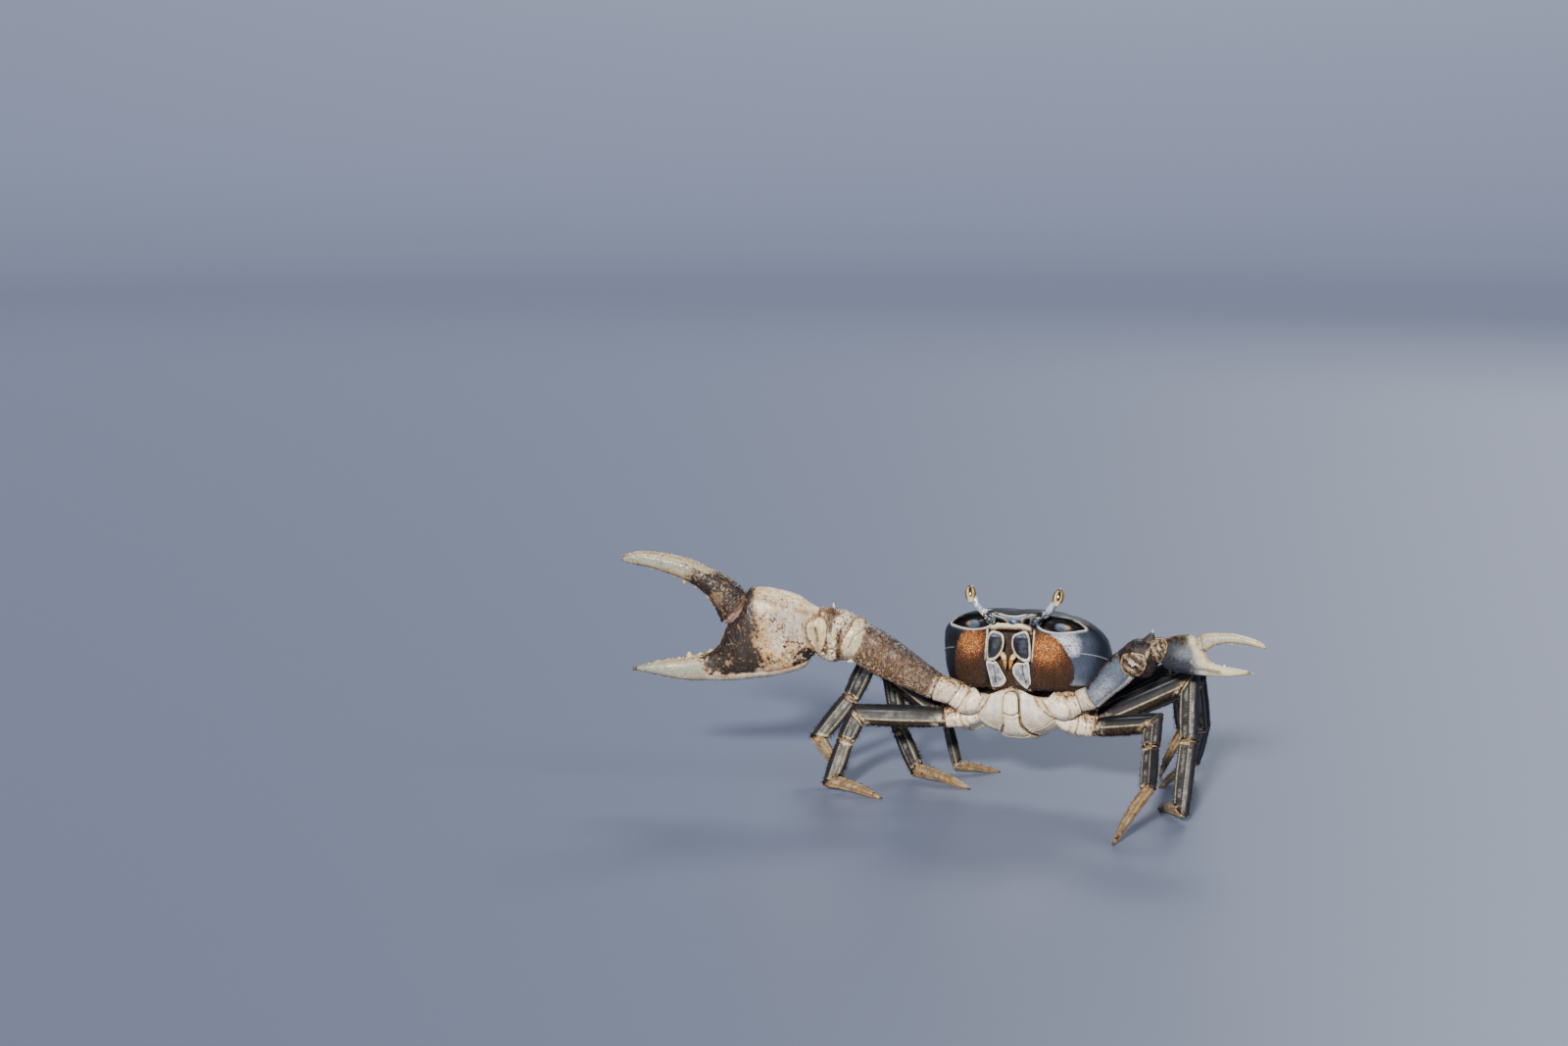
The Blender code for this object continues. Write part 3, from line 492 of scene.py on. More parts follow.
def shell_material(name, deep, amount=0.4, cloud_size=7.0, speck=(30, 22, 18), speck_size=1.1,
                   grain_size=0.7, relief=0.05, smooth=0.25, rough=0.5, coat=0.15, shine=0.5,
                   stain=(26, 18, 15), halo=(134, 86, 44), stain_size=2.6):
    """A finish that shows the paint on the points through clouds, cracks and specks. Sizes are in
    millimetres, and relief is the height of the grain."""
    made = bpy.data.materials.new(name)
    made.use_nodes = True
    tree = made.node_tree
    shader = tree.nodes["Principled BSDF"]

    def placed(which, scale, **values):
        return node(tree, "Group", {"Scale": scale, **values}, node_tree=which).outputs

    def marked(mask, key):
        return maths(tree, "MULTIPLY", mask, painted(tree, key), use_clamp=True)

    def covered(under, mask, colour):
        return blend(tree, mask, under, (*tint(*colour), 1))

    base = placed(clouds, 1 / (cloud_size * MM), Colour=painted(tree, "paint", "Color"),
                  Deep=(*tint(*deep), 1), Amount=amount)["Colour"]
    split = marked(placed(cracks, 1 / (CRACK_SIZE * MM), Width=CRACK_WIDTH)["Mask"], "crack")
    dots = marked(placed(specks, 1 / (speck_size * MM), Reach=0.75)["Mask"], "speck")
    small = marked(placed(specks, 2.3 / (speck_size * MM), Reach=0.7)["Mask"], "speck")
    dirt = placed(stains, 1 / (stain_size * MM), Amount=painted(tree, "stain"))
    faint = maths(tree, "MULTIPLY", dirt["Halo"], 0.75)
    for mask, colour in ((split, speck), (dots, speck), (small, deep), (faint, halo), (dirt["Mask"], stain)):
        base = covered(base, mask, colour)
    tree.links.new(base, shader.inputs["Base Color"])
    surface = placed(grain, 1 / (grain_size * MM), Pebbles=PEBBLES, Smooth=smooth, Rough=rough)
    drier = remap(tree, painted(tree, "wet"), 0.0, 1.0, 1.5, 0.5)
    gloss = maths(tree, "MULTIPLY", surface["Roughness"], drier, use_clamp=True)
    tree.links.new(gloss, shader.inputs["Roughness"])
    level = maths(tree, "SUBTRACT", surface["Height"], maths(tree, "MULTIPLY", split, CRACK_DEPTH))
    bumps = node(tree, "Bump", {"Strength": 1.0, "Distance": relief * MM, "Height": level})
    tree.links.new(bumps.outputs["Normal"], shader.inputs["Normal"])
    for key, value in (("Specular IOR Level", shine), ("Coat Weight", coat), ("Coat Roughness", 0.2)):
        shader.inputs[key].default_value = value
    return made


SLATE = shell_material("slate_vault", deep=(22, 26, 36), amount=0.35, smooth=0.3, rough=0.5, coat=0.0,
                       shine=0.22, speck_size=0.75)
IVORY = shell_material("ivory_belly", deep=(190, 162, 120), amount=0.28, cloud_size=3.0, speck=(88, 52, 30),
                       relief=0.07, stain=(92, 62, 40), halo=(184, 146, 98), stain_size=2.0)
CLAW = shell_material("claw_shell", deep=(150, 122, 86), amount=0.35, cloud_size=5.0, speck=(52, 32, 26),
                      speck_size=1.3, relief=0.09, rough=0.6, coat=0.05, stain=(34, 25, 21),
                      halo=(132, 98, 64), stain_size=2.0)
ARM = shell_material("arm_shell", deep=(58, 42, 34), amount=0.5, cloud_size=3.0, speck=(30, 22, 20),
                     relief=0.12, rough=0.65, coat=0.0, halo=(112, 82, 54), stain_size=1.8)
PLATE = shell_material("mouth_door", deep=(30, 35, 46), amount=0.3, cloud_size=3.0, relief=0.04, smooth=0.5,
                       rough=0.7, coat=0.0, shine=0.16)
LIMB = shell_material("leg_slate", deep=(26, 27, 31), amount=0.35, cloud_size=4.0, speck=(24, 20, 20),
                      relief=0.06, coat=0.0, smooth=0.4, rough=0.66, shine=0.26, stain=(20, 17, 17),
                      halo=(62, 50, 40))
HORN = shell_material("worn_horn", deep=(112, 88, 56), amount=0.4, cloud_size=3.0, speck=(70, 48, 30),
                      relief=0.05)
SKIN = shell_material("joint_skin", deep=(96, 66, 36), amount=0.5, cloud_size=2.0, grain_size=0.35,
                      relief=0.08, smooth=0.3, rough=0.55, coat=0.1, stain=(34, 26, 22), halo=(106, 84, 60),
                      stain_size=1.8)
FUR = shell_material("velvet_skin", deep=(40, 24, 14), amount=0.5, cloud_size=1.5, grain_size=0.4,
                     relief=0.3, smooth=0.6, rough=0.9, coat=0.0)
BRISTLE = shell_material("bristle_horn", deep=(20, 14, 10), amount=0.3, cloud_size=3.0, relief=0.01,
                         rough=0.6)
print("finishes:", [finish.name for finish in bpy.data.materials])

# %% [markdown]
# ## The carapace
#
# The shell is one smooth vault, wider than long, with the face under its front edge. It could be
# sculpted from a ball. A lathe-like grid is better here: rows go from the top down to the seam above
# the legs, columns go round, and three profiles, front, side and rear, are blended between. The grid
# is finest over the face, where the orbits, the mouth and the cheeks have to be cut.

# %% Tables of the shell
CARAPACE_WIDTH, CARAPACE_FRONT, CARAPACE_REAR = 96.0, 35.5, 41.0
SEAM_FRONT_Y, SEAM_FRONT_Z, SEAM_SLOPE = -25.0, -30.5, math.tan(math.radians(18.0))
OUTLINE = [(0, 0.0, -1.0), (15, 0.14, -1.0), (30, 0.26, -0.95), (45, 0.37, -0.82), (62, 0.468, -0.50),
           (85, 0.50, -0.02), (108, 0.468, 0.38), (128, 0.375, 0.68), (148, 0.25, 0.92), (164, 0.13, 1.0),
           (180, 0.0, 1.01)]
FRONT = [(0, 0.0, 18.5), (1, 0.34, 17.6), (2, 0.58, 15.6), (3, 0.78, 12.6), (4, 0.92, 9.8), (5, 1.0, 7.6),
         (6, 0.95, 4.8), (7, 0.875, 0.5), (8, 0.85, -7), (9, 0.82, -15), (10, 0.73, -24), (11, 0.60, -33)]
SIDE = [(0, 0.0, 18.5), (1, 0.36, 17.9), (2, 0.62, 15.8), (3, 0.80, 12.0), (4, 0.92, 7.0), (5, 0.98, 1.0),
        (6, 1.0, -5), (7, 0.99, -11.5), (8, 0.955, -18), (9, 0.885, -24), (10, 0.77, -29), (11, 0.64, -33)]
REAR = [(0, 0.0, 18.5), (1, 0.36, 17.4), (2, 0.62, 14.0), (3, 0.80, 9.3), (4, 0.92, 3.6), (5, 0.98, -2.5),
        (6, 1.0, -8), (7, 1.0, -12), (8, 0.98, -16), (9, 0.95, -21), (10, 0.90, -27), (11, 0.84, -33)]


def seam_z(y):
    return SEAM_FRONT_Z + (y - SEAM_FRONT_Y) * SEAM_SLOPE


def shell_point(angle, step):
    """Points of the shell: angle runs round it, 0 at the front and 90 on the crab's left, and step
    runs from 0 at the top to 11 below the seam."""
    wrapped = (angle + 180) % 360 - 180
    turn = np.abs(wrapped)
    wide, along = np.moveaxis(curve(OUTLINE, turn), -1, 0)
    x = np.sign(wrapped) * wide * CARAPACE_WIDTH
    y = along * np.where(along < 0, CARAPACE_FRONT, CARAPACE_REAR)
    ahead = np.maximum(0, np.cos(np.radians(turn))) ** 1.3
    behind = np.maximum(0, -np.cos(np.radians(turn))) ** 1.1
    beside = np.maximum(0, 1 - ahead - behind)
    profiles = ((ahead, FRONT), (beside, SIDE), (behind, REAR))
    both = sum(weight[..., None] * curve(profile, step) for weight, profile in profiles)
    share, height = np.moveaxis(both / (ahead + behind + beside)[..., None], -1, 0)
    return np.stack([x * share, y * share, height], -1)


# %% The grid, from the top to the seam
COLUMNS, TOP_ROWS, FACE_ROWS = 640, 64, 136
FRONT_CROWDING = 0.45
u = np.arange(COLUMNS) / COLUMNS
angles = 360 * (u - FRONT_CROWDING * np.sin(2 * math.pi * u) / (2 * math.pi))
probe = np.linspace(6, 11, 201)[:, None] * np.ones(COLUMNS)
below = shell_point(angles[None] + 0 * probe, probe)
last_step = np.array([np.interp(0, -(below[:, k, 2] - seam_z(below[:, k, 1]) - 0.15), probe[:, k])
                      for k in range(COLUMNS)])
steps = np.concatenate([np.linspace(0.06, 5, TOP_ROWS)[:, None] * np.ones(COLUMNS),
                        5 + np.linspace(0, 1, FACE_ROWS + 1)[1:, None] * (last_step - 5)])
body = shell_point(angles[None] + 0 * steps, steps)
print("shell grid:", body.shape, "lowest z", round(float(body[..., 2].min()), 1))

# %% [markdown]
# ## The face
#
# Under the front edge sit two long orbits with white lower rims, a pale band between them, the pits
# of the feelers, an uneven cream lip and the door of the mouth. All are outlines seen from straight
# ahead. Each point of the grid knows how deep it lies inside an outline, and that depth both
# carves the hollow and paints its rim, so the two can't drift apart.

# %% Outlines of the face, as (x, z) in the body's frame
ORBIT = closed_curve([(13.5, 4.5), (15.5, 8.2), (21.5, 9.9), (29.0, 9.2), (35.5, 6.6), (38.6, 4.2),
                      (36.0, 2.6), (30.5, 0.9), (24.0, 0.1), (18.0, 0.8), (14.5, 2.2)])
FEELER_PIT = closed_curve([(3.3, 3.6), (4.2, 5.2), (7.0, 6.3), (10.0, 6.4), (10.4, 4.6), (7.5, 3.4)])
MOUTH_X = -2.2
MOUTH = [(-12.9, 0.5), (-12.6, -20.0), (-12.0, -36.0), (12.0, -36.0), (12.6, -20.0), (12.9, 0.5)]
CHEEK_LEFT = closed_curve([(9.6, 0.6), (16.6, -0.8), (23.7, -3.2), (28.0, -7.5), (31.5, -12.8),
                           (33.4, -17.6), (32.8, -23.2), (29.0, -27.5), (20.0, -31.0), (9.0, -34.0),
                           (9.4, -15.0)])
CHEEK_RIGHT = closed_curve([(-14.0, 0.8), (-19.5, 0.1), (-26.0, -0.4), (-31.1, -2.2), (-33.4, -5.5),
                            (-34.8, -11.0), (-34.9, -18.0), (-33.5, -25.5), (-25.0, -31.0), (-13.6, -34.0),
                            (-13.8, -15.0)])
PATCH = closed_curve([(22.0, -1.2), (31.0, 0.2), (35.5, -3.2), (35.0, -9.4), (30.5, -10.5), (26.2, -5.5)])
FACE_MIDDLE = -1.0
x, y, z = np.moveaxis(body, -1, 0)
ahead = (y < -8) * ease(-y, 8, 14) * (steps > 4.2)
flat_point = np.stack([x, z], -1)
in_orbit = np.maximum(depth_in(flat_point, ORBIT), depth_in(flat_point, ORBIT * (-1, 1)))
in_pit = np.maximum(depth_in(flat_point - (FACE_MIDDLE, 0), FEELER_PIT),
                    depth_in(flat_point - (FACE_MIDDLE, 0), FEELER_PIT * (-1, 1)))
in_mouth = depth_in(flat_point - (MOUTH_X, 0), MOUTH)
in_cheek = np.maximum(depth_in(flat_point, CHEEK_LEFT), depth_in(flat_point, CHEEK_RIGHT))
in_patch = depth_in(flat_point, PATCH)
print("points in the orbits:", int((in_orbit > 0).sum()), "and in the cheeks:", int((in_cheek > 0).sum()))

# %% Carve the face
ORBIT_DEPTH, PIT_DEPTH, RIM_HEIGHT = 7.0, 3.2, 0.75
side_x = np.abs(x)
lower_rim = ease(-(z - 4.6 - 0.08 * (side_x - 25)), -1.5, 1.5)
lump = 3.4 * np.exp(-((side_x - 25.5) / 4.2) ** 2 - ((z - 4.0) / 2.6) ** 2)
rim = bump(in_orbit, -0.45, 0.5) * (0.45 + 0.75 * lower_rim)
crumple = cloud(np.stack([x, 0 * x, 0 * x], -1), 4.0, 6)
from_mouth, from_middle = np.abs(x - MOUTH_X), np.abs(x - FACE_MIDDLE)
lip_line = 1.7 + 0.7 * crumple - 0.012 * from_mouth ** 2 + 0.8
epistome = bump(z, lip_line, 1.35) * ease(12.4 - from_mouth, 0, 1.5)
FEELER_ARCS = [[(-12.4, 7.8), (-9.9, 6.5), (-7.0, 5.9), (-4.6, 4.7), (-3.4, 3.2)],
               [(3.0, 3.4), (3.8, 5.0), (6.6, 6.9), (10.6, 8.0), (13.8, 9.0)]]
arc = np.exp(-(np.minimum.reduce([line_distance(flat_point, a) for a in FEELER_ARCS]) / 0.34) ** 2)
fold = cloud(body, 2.4, 3)
push = np.zeros(x.shape)
push += ease(in_orbit, 0, 2.0) * (ORBIT_DEPTH - lump) - rim * RIM_HEIGHT
push += ease(in_pit, 0, 1.0) * PIT_DEPTH
mouth_floor = -28.4 - 0.24 * np.minimum(z, 0)
push += ease(in_mouth, 0, 1.0) * ease(0.5 - z, -0.5, 0.6) * np.maximum(mouth_floor - y, 0) * 0.96
push -= epistome * (1.0 + 0.35 * fold) + 0.5 * arc
push += bump(z, 4.2, 0.7) * ease(12.0 - from_middle, 0, 2.0) * 1.1
body[..., 1] += push * ahead
shell = Skin(on_body(body))
shell.dye((28, 34, 48))

# %% Relief of the back
# A crab's back has an H of shallow grooves over its gut and heart, and a soft fold behind the eyes.
GROOVES = [[(-7, -2), (-9, 5), (-7.5, 12), (-9, 20)], [(7, -2), (9, 5), (7.5, 12), (9, 20)],
           [(-7.5, 9), (0, 10.5), (7.5, 9)], [(9, 4), (17, -2), (25, -12), (30, -20)],
           [(-9, 4), (-17, -2), (-25, -12), (-30, -20)], [(-5, -26), (-1, -20), (-1, -12)]]
above = np.stack([x, y], -1)
groove = sum(np.exp(-(line_distance(above, g) / 2.6) ** 2) for g in GROOVES) * (1 - ease(steps, 4.2, 4.7))
line_z = -8.8 + 0.12 * (side_x - 38) + 0.04 * (y + 20)
pleura = bump(z, line_z, 0.22) * ease(side_x - 35.5, 0, 2.0) * (steps > 5)
from_front = np.abs((angles + 180) % 360 - 180)
brow = bump(steps, 4.75 - 0.35 * ease(side_x, 12, 40), 0.16) * ease(60 - from_front, 0, 20)
seam_lip = bump(steps - last_step, 0, 0.18) * (in_cheek < -1)
shell.lift(-0.45 * groove + 0.28 * pleura + 0.35 * brow + 0.35 * seam_lip + 0.06 * cloud(body, 5, 8))

# %% Paint the shell
PALE, CREAM = (222, 224, 226), (224, 206, 170)
flank = ease(z, 6, -4) * ease(side_x, 26, 36)
shell.dye((11, 15, 24), ease(5.4 - steps, 0, 0.6))
shell.dye((34, 42, 60), ease(y, -16, 2) * (0.75 + 0.25 * cloud(body, 9, 9)))
shell.dye((54, 63, 82), flank * ease(-y, -6, 6) * 0.9)
# Painted light and shade: the front of the left flank is painted lighter and the right flank darker, as the
# light falls on the two lobes.
shell.dye((86, 97, 118), flank * bump(x, 36, 6) * ease(-y, 10, 16) * (0.7 + 0.4 * cloud(body, 6, 4)))
shell.dye((24, 25, 31), flank * ease(-x, 30, 34) * 0.95)
shell.dye((20, 22, 29), ease(side_x, 41, 47) * 0.8)
shell.dye((176, 180, 208), ahead * ease(in_patch, -2.5, 1.0) * (0.85 + 0.2 * cloud(body, 2.5, 5)))
shell.dye((214, 214, 232), ahead * ease(in_patch, 0.0, 3.0) * 0.7)
shell.dye((150, 160, 180), ahead * ease(-z, 20, 26) * ease(x, 27, 31) * 0.6)
shell.dye((168, 176, 192), pleura * 0.8)
front_band = bump(z, 6.1, 0.9) * ease(14.5 - from_middle, 0, 3) * ahead
shell.dye((136, 146, 166), front_band)
shell.dye(PALE, bump(z, 6.9 + 0.02 * from_middle ** 2, 0.3) * ease(14 - from_middle, 0, 2) * ahead)
# Painted shade: the inside of each orbit is painted darker, where shade falls in the hollow.
shell.dye((24, 22, 24), ahead * ease(in_orbit, -0.1, 0.8))
shell.dye((96, 112, 138), ahead * (in_orbit > 0) * ease(lump, 1.0, 2.4))
lump_light = np.exp(-((side_x - 28.4) / 1.5) ** 2 - (z - 4.2) ** 2)
shell.dye((190, 160, 120), ahead * (in_orbit > 0) * lump_light)
# Painted shade: the feeler pits are painted near black inside.
shell.dye((16, 14, 16), ahead * ease(in_pit, -0.1, 0.6))
shell.dye(PALE, ahead * bump(in_orbit, -0.5, 0.55) * lower_rim)
shell.dye(CREAM, ahead * bump(in_orbit, -0.3, 0.32) * (1 - lower_rim) * (0.8 + 0.3 * fold))
shell.dye((42, 28, 19), ahead * ease(in_mouth, -0.3, 0.5) * ease(0.6 - z, 0, 1))
shell.dye((184, 160, 124), ahead * ease(epistome, 0.08, 0.4))
shell.dye((104, 68, 42), ahead * ease(epistome, 0.05, 0.3) * ease(fold, -0.1, 0.4) * ease(1.8 - z, 0, 1.2))
shell.dye((246, 238, 216), ahead * ease(epistome, 0.45, 0.8) * ease(z, 0.7, 1.8))
door_frame = bump(from_mouth, 13.6 - 0.02 * z, 0.5) * ease(-z, -1.5, 0.5) * ease(z, -17.5, -16.0)
shell.dye((222, 214, 196), ahead * door_frame)
shell.dye((214, 206, 190), ahead * arc * 0.9)
shell.dye((40, 26, 18), (y < -8) * ease(steps - last_step, -0.35, -0.15) * ease(40 - side_x, 0, 3))
velvet = ahead * ease(in_cheek, -0.5, 0.5) * (in_mouth < -1.2) * (in_orbit < -1.0)
# Painted glints: two warm areas of the cheeks, where the sun would catch the hairs, are painted orange on
# the skin under the tufts.
glint_glow = np.exp(-((x - 19) / 8) ** 2 - ((z + 9) / 8) ** 2) + np.exp(-((x + 25) / 7) ** 2 - ((z + 7) / 7) ** 2)
brown = mix(tint(44, 27, 17), tint(112, 60, 26), np.clip(glint_glow, 0, 1))
shell.colour = mix(shell.colour, brown, velvet)
shell.speck += 0.75 * ahead * ease(in_patch, -7, 0) * (1 - velvet) * ease(x, 22, 26)
shell.speck += 0.35 * flank * (1 - velvet)
shell.wet -= 0.5 * velvet
new_piece("shell", [shell], SLATE, ["carapace"])
in_door = ease(-z, 1.5, 4) * (in_mouth > 0.3)
door_gap = line_distance(flat_point, [(MOUTH_X, -6), (MOUTH_X, -34)])
between_doors = in_door * (door_gap < 0.9 + 0.32 * np.maximum(0, -z - 19))
velvet_map = velvet * (steps > 5) + ahead * between_doors

# %% [markdown]
# ## Velvet on the cheeks
#
# The cheeks are covered with a felt of short stiff hairs that holds water for breathing on land. It
# looks dark brown, with gold where hairs catch the sun; that gold is painted on, as glints in two warm
# areas of the cheeks and on the tufts there. Particle hair would be lost in an export, so each tuft is a
# tiny bent blade of mesh. It lies downwards, and its brightness is drawn by lot, with painted glints on top.

# %% Bristles and beads
def tuft_map(places, count):
    """A patch of the bake map for each tuft, 0.003 wide, at its root's place on the unwrapped skin."""
    side = math.ceil(math.sqrt(count))
    corner = np.arange(count)
    patch = np.stack([corner % side, corner // side], -1) * (0.003 / (side - 1))
    return ((0.01 + 0.97 * places)[:, None] + patch).reshape(-1, 2)


def crosswise(ways):
    """Two directions across each way."""
    helper = np.where(np.abs(ways[:, 2:3]) < 0.9, np.array((0.0, 0, 1)), np.array((1.0, 0, 0)))
    a = unit(np.cross(ways, helper))
    return a, np.cross(ways, a)


def scattered(rings, pattern, colour, light, places):
    """Many equal small forms. rings holds one point of every form at a time, and light is how bright
    each form is."""
    points = np.stack(rings, axis=1)
    count, size = points.shape[:2]
    faces = [[size * i + k for k in face] for i in range(count) for face in pattern]
    shade = np.reshape(colour, (-1, 1, 3)) * light[:, None, None] * np.ones(points.shape)
    zero = np.zeros(size * count)
    paint = [shade.reshape(-1, 3), zero, zero, zero + 0.5, zero]
    return points.reshape(-1, 3), faces, paint, tuft_map(places, size)


BRISTLE_PATTERN = [(0, 1, 4, 3), (1, 2, 5, 4), (2, 0, 3, 5), (3, 4, 6), (4, 5, 6), (5, 3, 6), (2, 1, 0)]
THIRD_TURN = 2.0944
BEAD_SIDES, BEAD_HEIGHT = 7, 0.8
BEAD_STEPS = [(k, (k + 1) % BEAD_SIDES) for k in range(BEAD_SIDES)]
BEAD_FIRST, BEAD_SECOND, BEAD_THIRD, BEAD_TOP = (BEAD_SIDES * ring for ring in range(4))
BEAD_PATTERN = [(low + k, low + n, high + n, high + k)
                for low, high in ((BEAD_FIRST, BEAD_SECOND), (BEAD_SECOND, BEAD_THIRD))
                for k, n in BEAD_STEPS]
BEAD_PATTERN += [(BEAD_THIRD + k, BEAD_THIRD + n, BEAD_TOP) for k, n in BEAD_STEPS]
BEAD_PATTERN += [tuple(range(BEAD_SIDES))[::-1]]


def bristle_shape(roots, ways, lengths, thick, colour, places, droop=0.0, seed=1):
    """Thin bent bristles, three-sided, one at each root."""
    dice = np.random.default_rng(seed)
    ways, count = unit(ways), len(roots)
    half = np.reshape(lengths, (count, 1)) * 0.5
    bend = unit(ways + np.array((0, 0, -droop)) + dice.normal(0, 0.15, (count, 3)))
    middle = roots + ways * half
    a, b = crosswise(ways)
    rings = [centre + thick * size * (a * math.cos(k * THIRD_TURN) + b * math.sin(k * THIRD_TURN))
             for centre, size in ((roots, 1.0), (middle, 0.7)) for k in range(3)]
    light = dice.uniform(0.6, 1.3, count)
    return scattered(rings + [middle + bend * half], BRISTLE_PATTERN, colour, light, places)


def bead_shape(roots, ways, radii, colour, places, seed=1):
    """Small rounded granules half sunk in the shell."""
    dice = np.random.default_rng(seed)
    ways, radii = unit(ways), radii[:, None]
    a, b = crosswise(ways)
    rings = []
    for wide, high in ((1.0, -0.35), (0.92, 0.25), (0.55, 0.72)):
        for k in range(BEAD_SIDES):
            angle = 2 * math.pi * k / BEAD_SIDES
            round_it = wide * (a * math.cos(angle) + b * math.sin(angle))
            rings.append(roots + radii * (round_it + high * BEAD_HEIGHT * ways))
    rings.append(roots + radii * 0.9 * BEAD_HEIGHT * ways)
    return scattered(rings, BEAD_PATTERN, colour, dice.uniform(0.75, 1.15, len(roots)), places)


def pick(skin, mask, count, seed, strip=0, strips=1):
    """Random points on a skin where a mask is set: the root, the normal and the run of the piece
    there, the place on the unwrapped skin, and which point it is."""
    dice = np.random.default_rng(seed)
    weight = (np.clip(mask, 0, 1) * np.ones(skin.speck.shape)).ravel()
    chosen = dice.choice(len(weight), count, p=weight / weight.sum())
    grids = (skin.points, skin.normals(), np.gradient(skin.points, axis=0))
    root, out, run = (grid.reshape(-1, 3)[chosen] for grid in grids)
    rows, columns = skin.speck.shape
    place = np.stack([(strip + (chosen % columns) / columns) / strips, chosen // columns / rows], -1)
    return root, out, unit(run), place, chosen


# %% Velvet tufts
TUFTS, FRINGE_TUFTS = 15000, 1500
DOWNWARD = TURN @ (0.0, -0.25, -1.0)
cell = np.linalg.norm(shell.cells(), axis=-1)
roots, out, _, place, chosen = pick(shell, velvet_map * cell / cell[velvet_map > 0.5].max(), TUFTS, 201)
dice = np.random.default_rng(202)
luck = dice.uniform(0, 1, TUFTS)
# Painted glints: tufts in the warm areas are painted orange and gold, and a few near white, where the sun
# would catch them.
warm = np.clip(glint_glow, 0, 1).ravel()[chosen]
patchy = 0.5 + 0.5 * cloud(roots, 2.2, 203)
bright = np.clip(0.1 + 1.25 * warm * (0.5 + 0.5 * patchy) + 0.4 * (luck - 0.5), 0, 1)
shade = mix(np.ones((TUFTS, 3)) * tint(60, 40, 28), tint(164, 92, 40), ease(bright, 0.12, 0.55))
shade = mix(shade, tint(228, 150, 74), ease(bright, 0.5, 0.9) * ease(luck, 0.4, 0.6))
shade = mix(shade, tint(252, 220, 168), (luck > 0.9) * ease(warm, 0.1, 0.5))
lengths = dice.uniform(0.7, 1.15, TUFTS)
tufts = bristle_shape(roots - out * 0.1, out * 0.8 + DOWNWARD, lengths, 0.34, shade, place, droop=0.3,
                      seed=204)
new_piece("velvet", [tufts], FUR)
fringe = (steps > last_step - 0.12) * (y < -6) * ease(38 - side_x, 0, 4)
roots, out, _, place, _ = pick(shell, fringe, FRINGE_TUFTS, 205)
lengths = dice.uniform(1.4, 3.0, FRINGE_TUFTS)
tufts = bristle_shape(roots, out * 0.3 + DOWNWARD, lengths, 0.24, tint(52, 33, 21), place, seed=206)
new_piece("velvet_fringe", [tufts], FUR)

# %% [markdown]
# ## Legs
#
# A walking leg has four long segments: merus, carpus, propodus and the pointed dactyl. They are
# flat, like knife handles, with pale ridges along them and bristles on their edges. A box with a
# bevel would look like a toy. Each segment here is a tube through the joints that the solids use,
# with a lip at each end, ridges that the paint follows, and a fold of skin in each joint.

# %% Tables of the legs
SIDES = {"r": -1, "l": 1}
GAP = 0.3
COXA = {1: (27, -13, -37), 2: (28, -3, -42.5), 3: (29, 9, -42.5), 4: (28, 20, -38), 5: (25, 29, -30.5)}
LEGS = {
    "r1": ((-45, -9, 43.5), (-94, 3, 42), (-101, 1, 27.5), (-109, -7, 6.0), (-81, -24, 0)),
    "r2": ((-47, 4, 44), (-86, 20, 72), (-97, 26, 47), (-116, 22, 23.5), (-101, 1, 0)),
    "r3": ((-44, 15, 41), (-73, 41, 53), (-68, 35, 24), (-59, 19, 5.5), (-30, -4, 0)),
    "r4": ((-37, 27, 41), (-52, 51, 50), (-40, 48, 25), (-35, 30, 5.0), (-10, 33, 0)),
    "l1": ((36, -35, 44.5), (65, -60, 53), (63, -67, 40.5), (58.5, -92, 24.5), (37.5, -113, 0)),
    "l2": ((40, -24, 46), (87, -42, 73), (85.5, -53, 41), (80, -68, 6.5), (72, -42, 0)),
    "l3": ((43, -13, 43), (97, -5, 62), (102, 5, 34), (100, 21, 9.5), (78, -1, 0)),
    "l4": ((40, 2, 47), (80, -2, 69), (90, 10, 51), (95, 26, 27), (82, 24, 0)),
}
LEG_HEIGHT = {"merus": (11.0, 13.0, 12.0), "carpus": (11.0, 11.5, 10.5), "propodus": (10.0, 10.5, 9.0)}
LEG_THICK = {"merus": 7.2, "carpus": 7.0, "propodus": 6.2, "dactyl": 5.0}
LEG_SCALE = {"1": 0.96, "2": 1.0, "3": 1.0, "4": 0.84}
DACTYL_TIP, DACTYL_BOW = 0.75, 1.2
ABOVE_FLOOR = 0.02


def hip_of(side, number):
    x, y, z = COXA[number]
    return on_body((SIDES[side] * x, y, z))


def joint_planes(points):
    """At each joint, the normal of the plane in which its two segments meet."""
    runs = [unit(b - a) for a, b in zip(points, points[1:])]
    planes = [unit(a + b) for a, b in zip(runs, runs[1:])]
    planes[0] = runs[0]
    return runs, planes


# %% One segment of a limb
LIP_IN, LIP_ROUND = 0.85, 0.9
BOXY = 2.4
FOLD_ROWS, FOLD_WAVES = 22, 16


def limb(start, end, side, faces, sizes, rows=90, columns=56, bend=0.0, lips=(1.0, 1.0)):
    """The skin of one segment. Its places are kept with it: mm is the distance along it, left is the
    distance to its end, back is 1 on the outer edge and -1 on the inner, and near is 1 on the face
    that looks forward."""
    axis = unit(end - start)
    top = np.cross(side, axis)
    first = start + faces[0] * (GAP / 2 / (faces[0] @ axis))
    last = end - faces[1] * (GAP / 2 / (faces[1] @ axis))
    t = np.linspace(0, 1, rows)
    spine = first + (last - first) * t[:, None] + top * (bend * np.sin(math.pi * t))[:, None]
    skin = tube_skin(spine, curve(sizes, t), side, faces[0], faces[1], columns, BOXY)
    length = float(np.linalg.norm(last - first))
    skin.mm, skin.left = skin.t * length, (1 - skin.t) * length
    skin.back, skin.near = -skin.sin, skin.cos * (-1 if side[1] > 0 else 1)
    for distance, depth in ((skin.mm, lips[0]), (skin.left, lips[1])):
        if depth:
            skin.lift(-LIP_IN * depth * (1 - ease(distance, 0, LIP_ROUND)))
    return skin


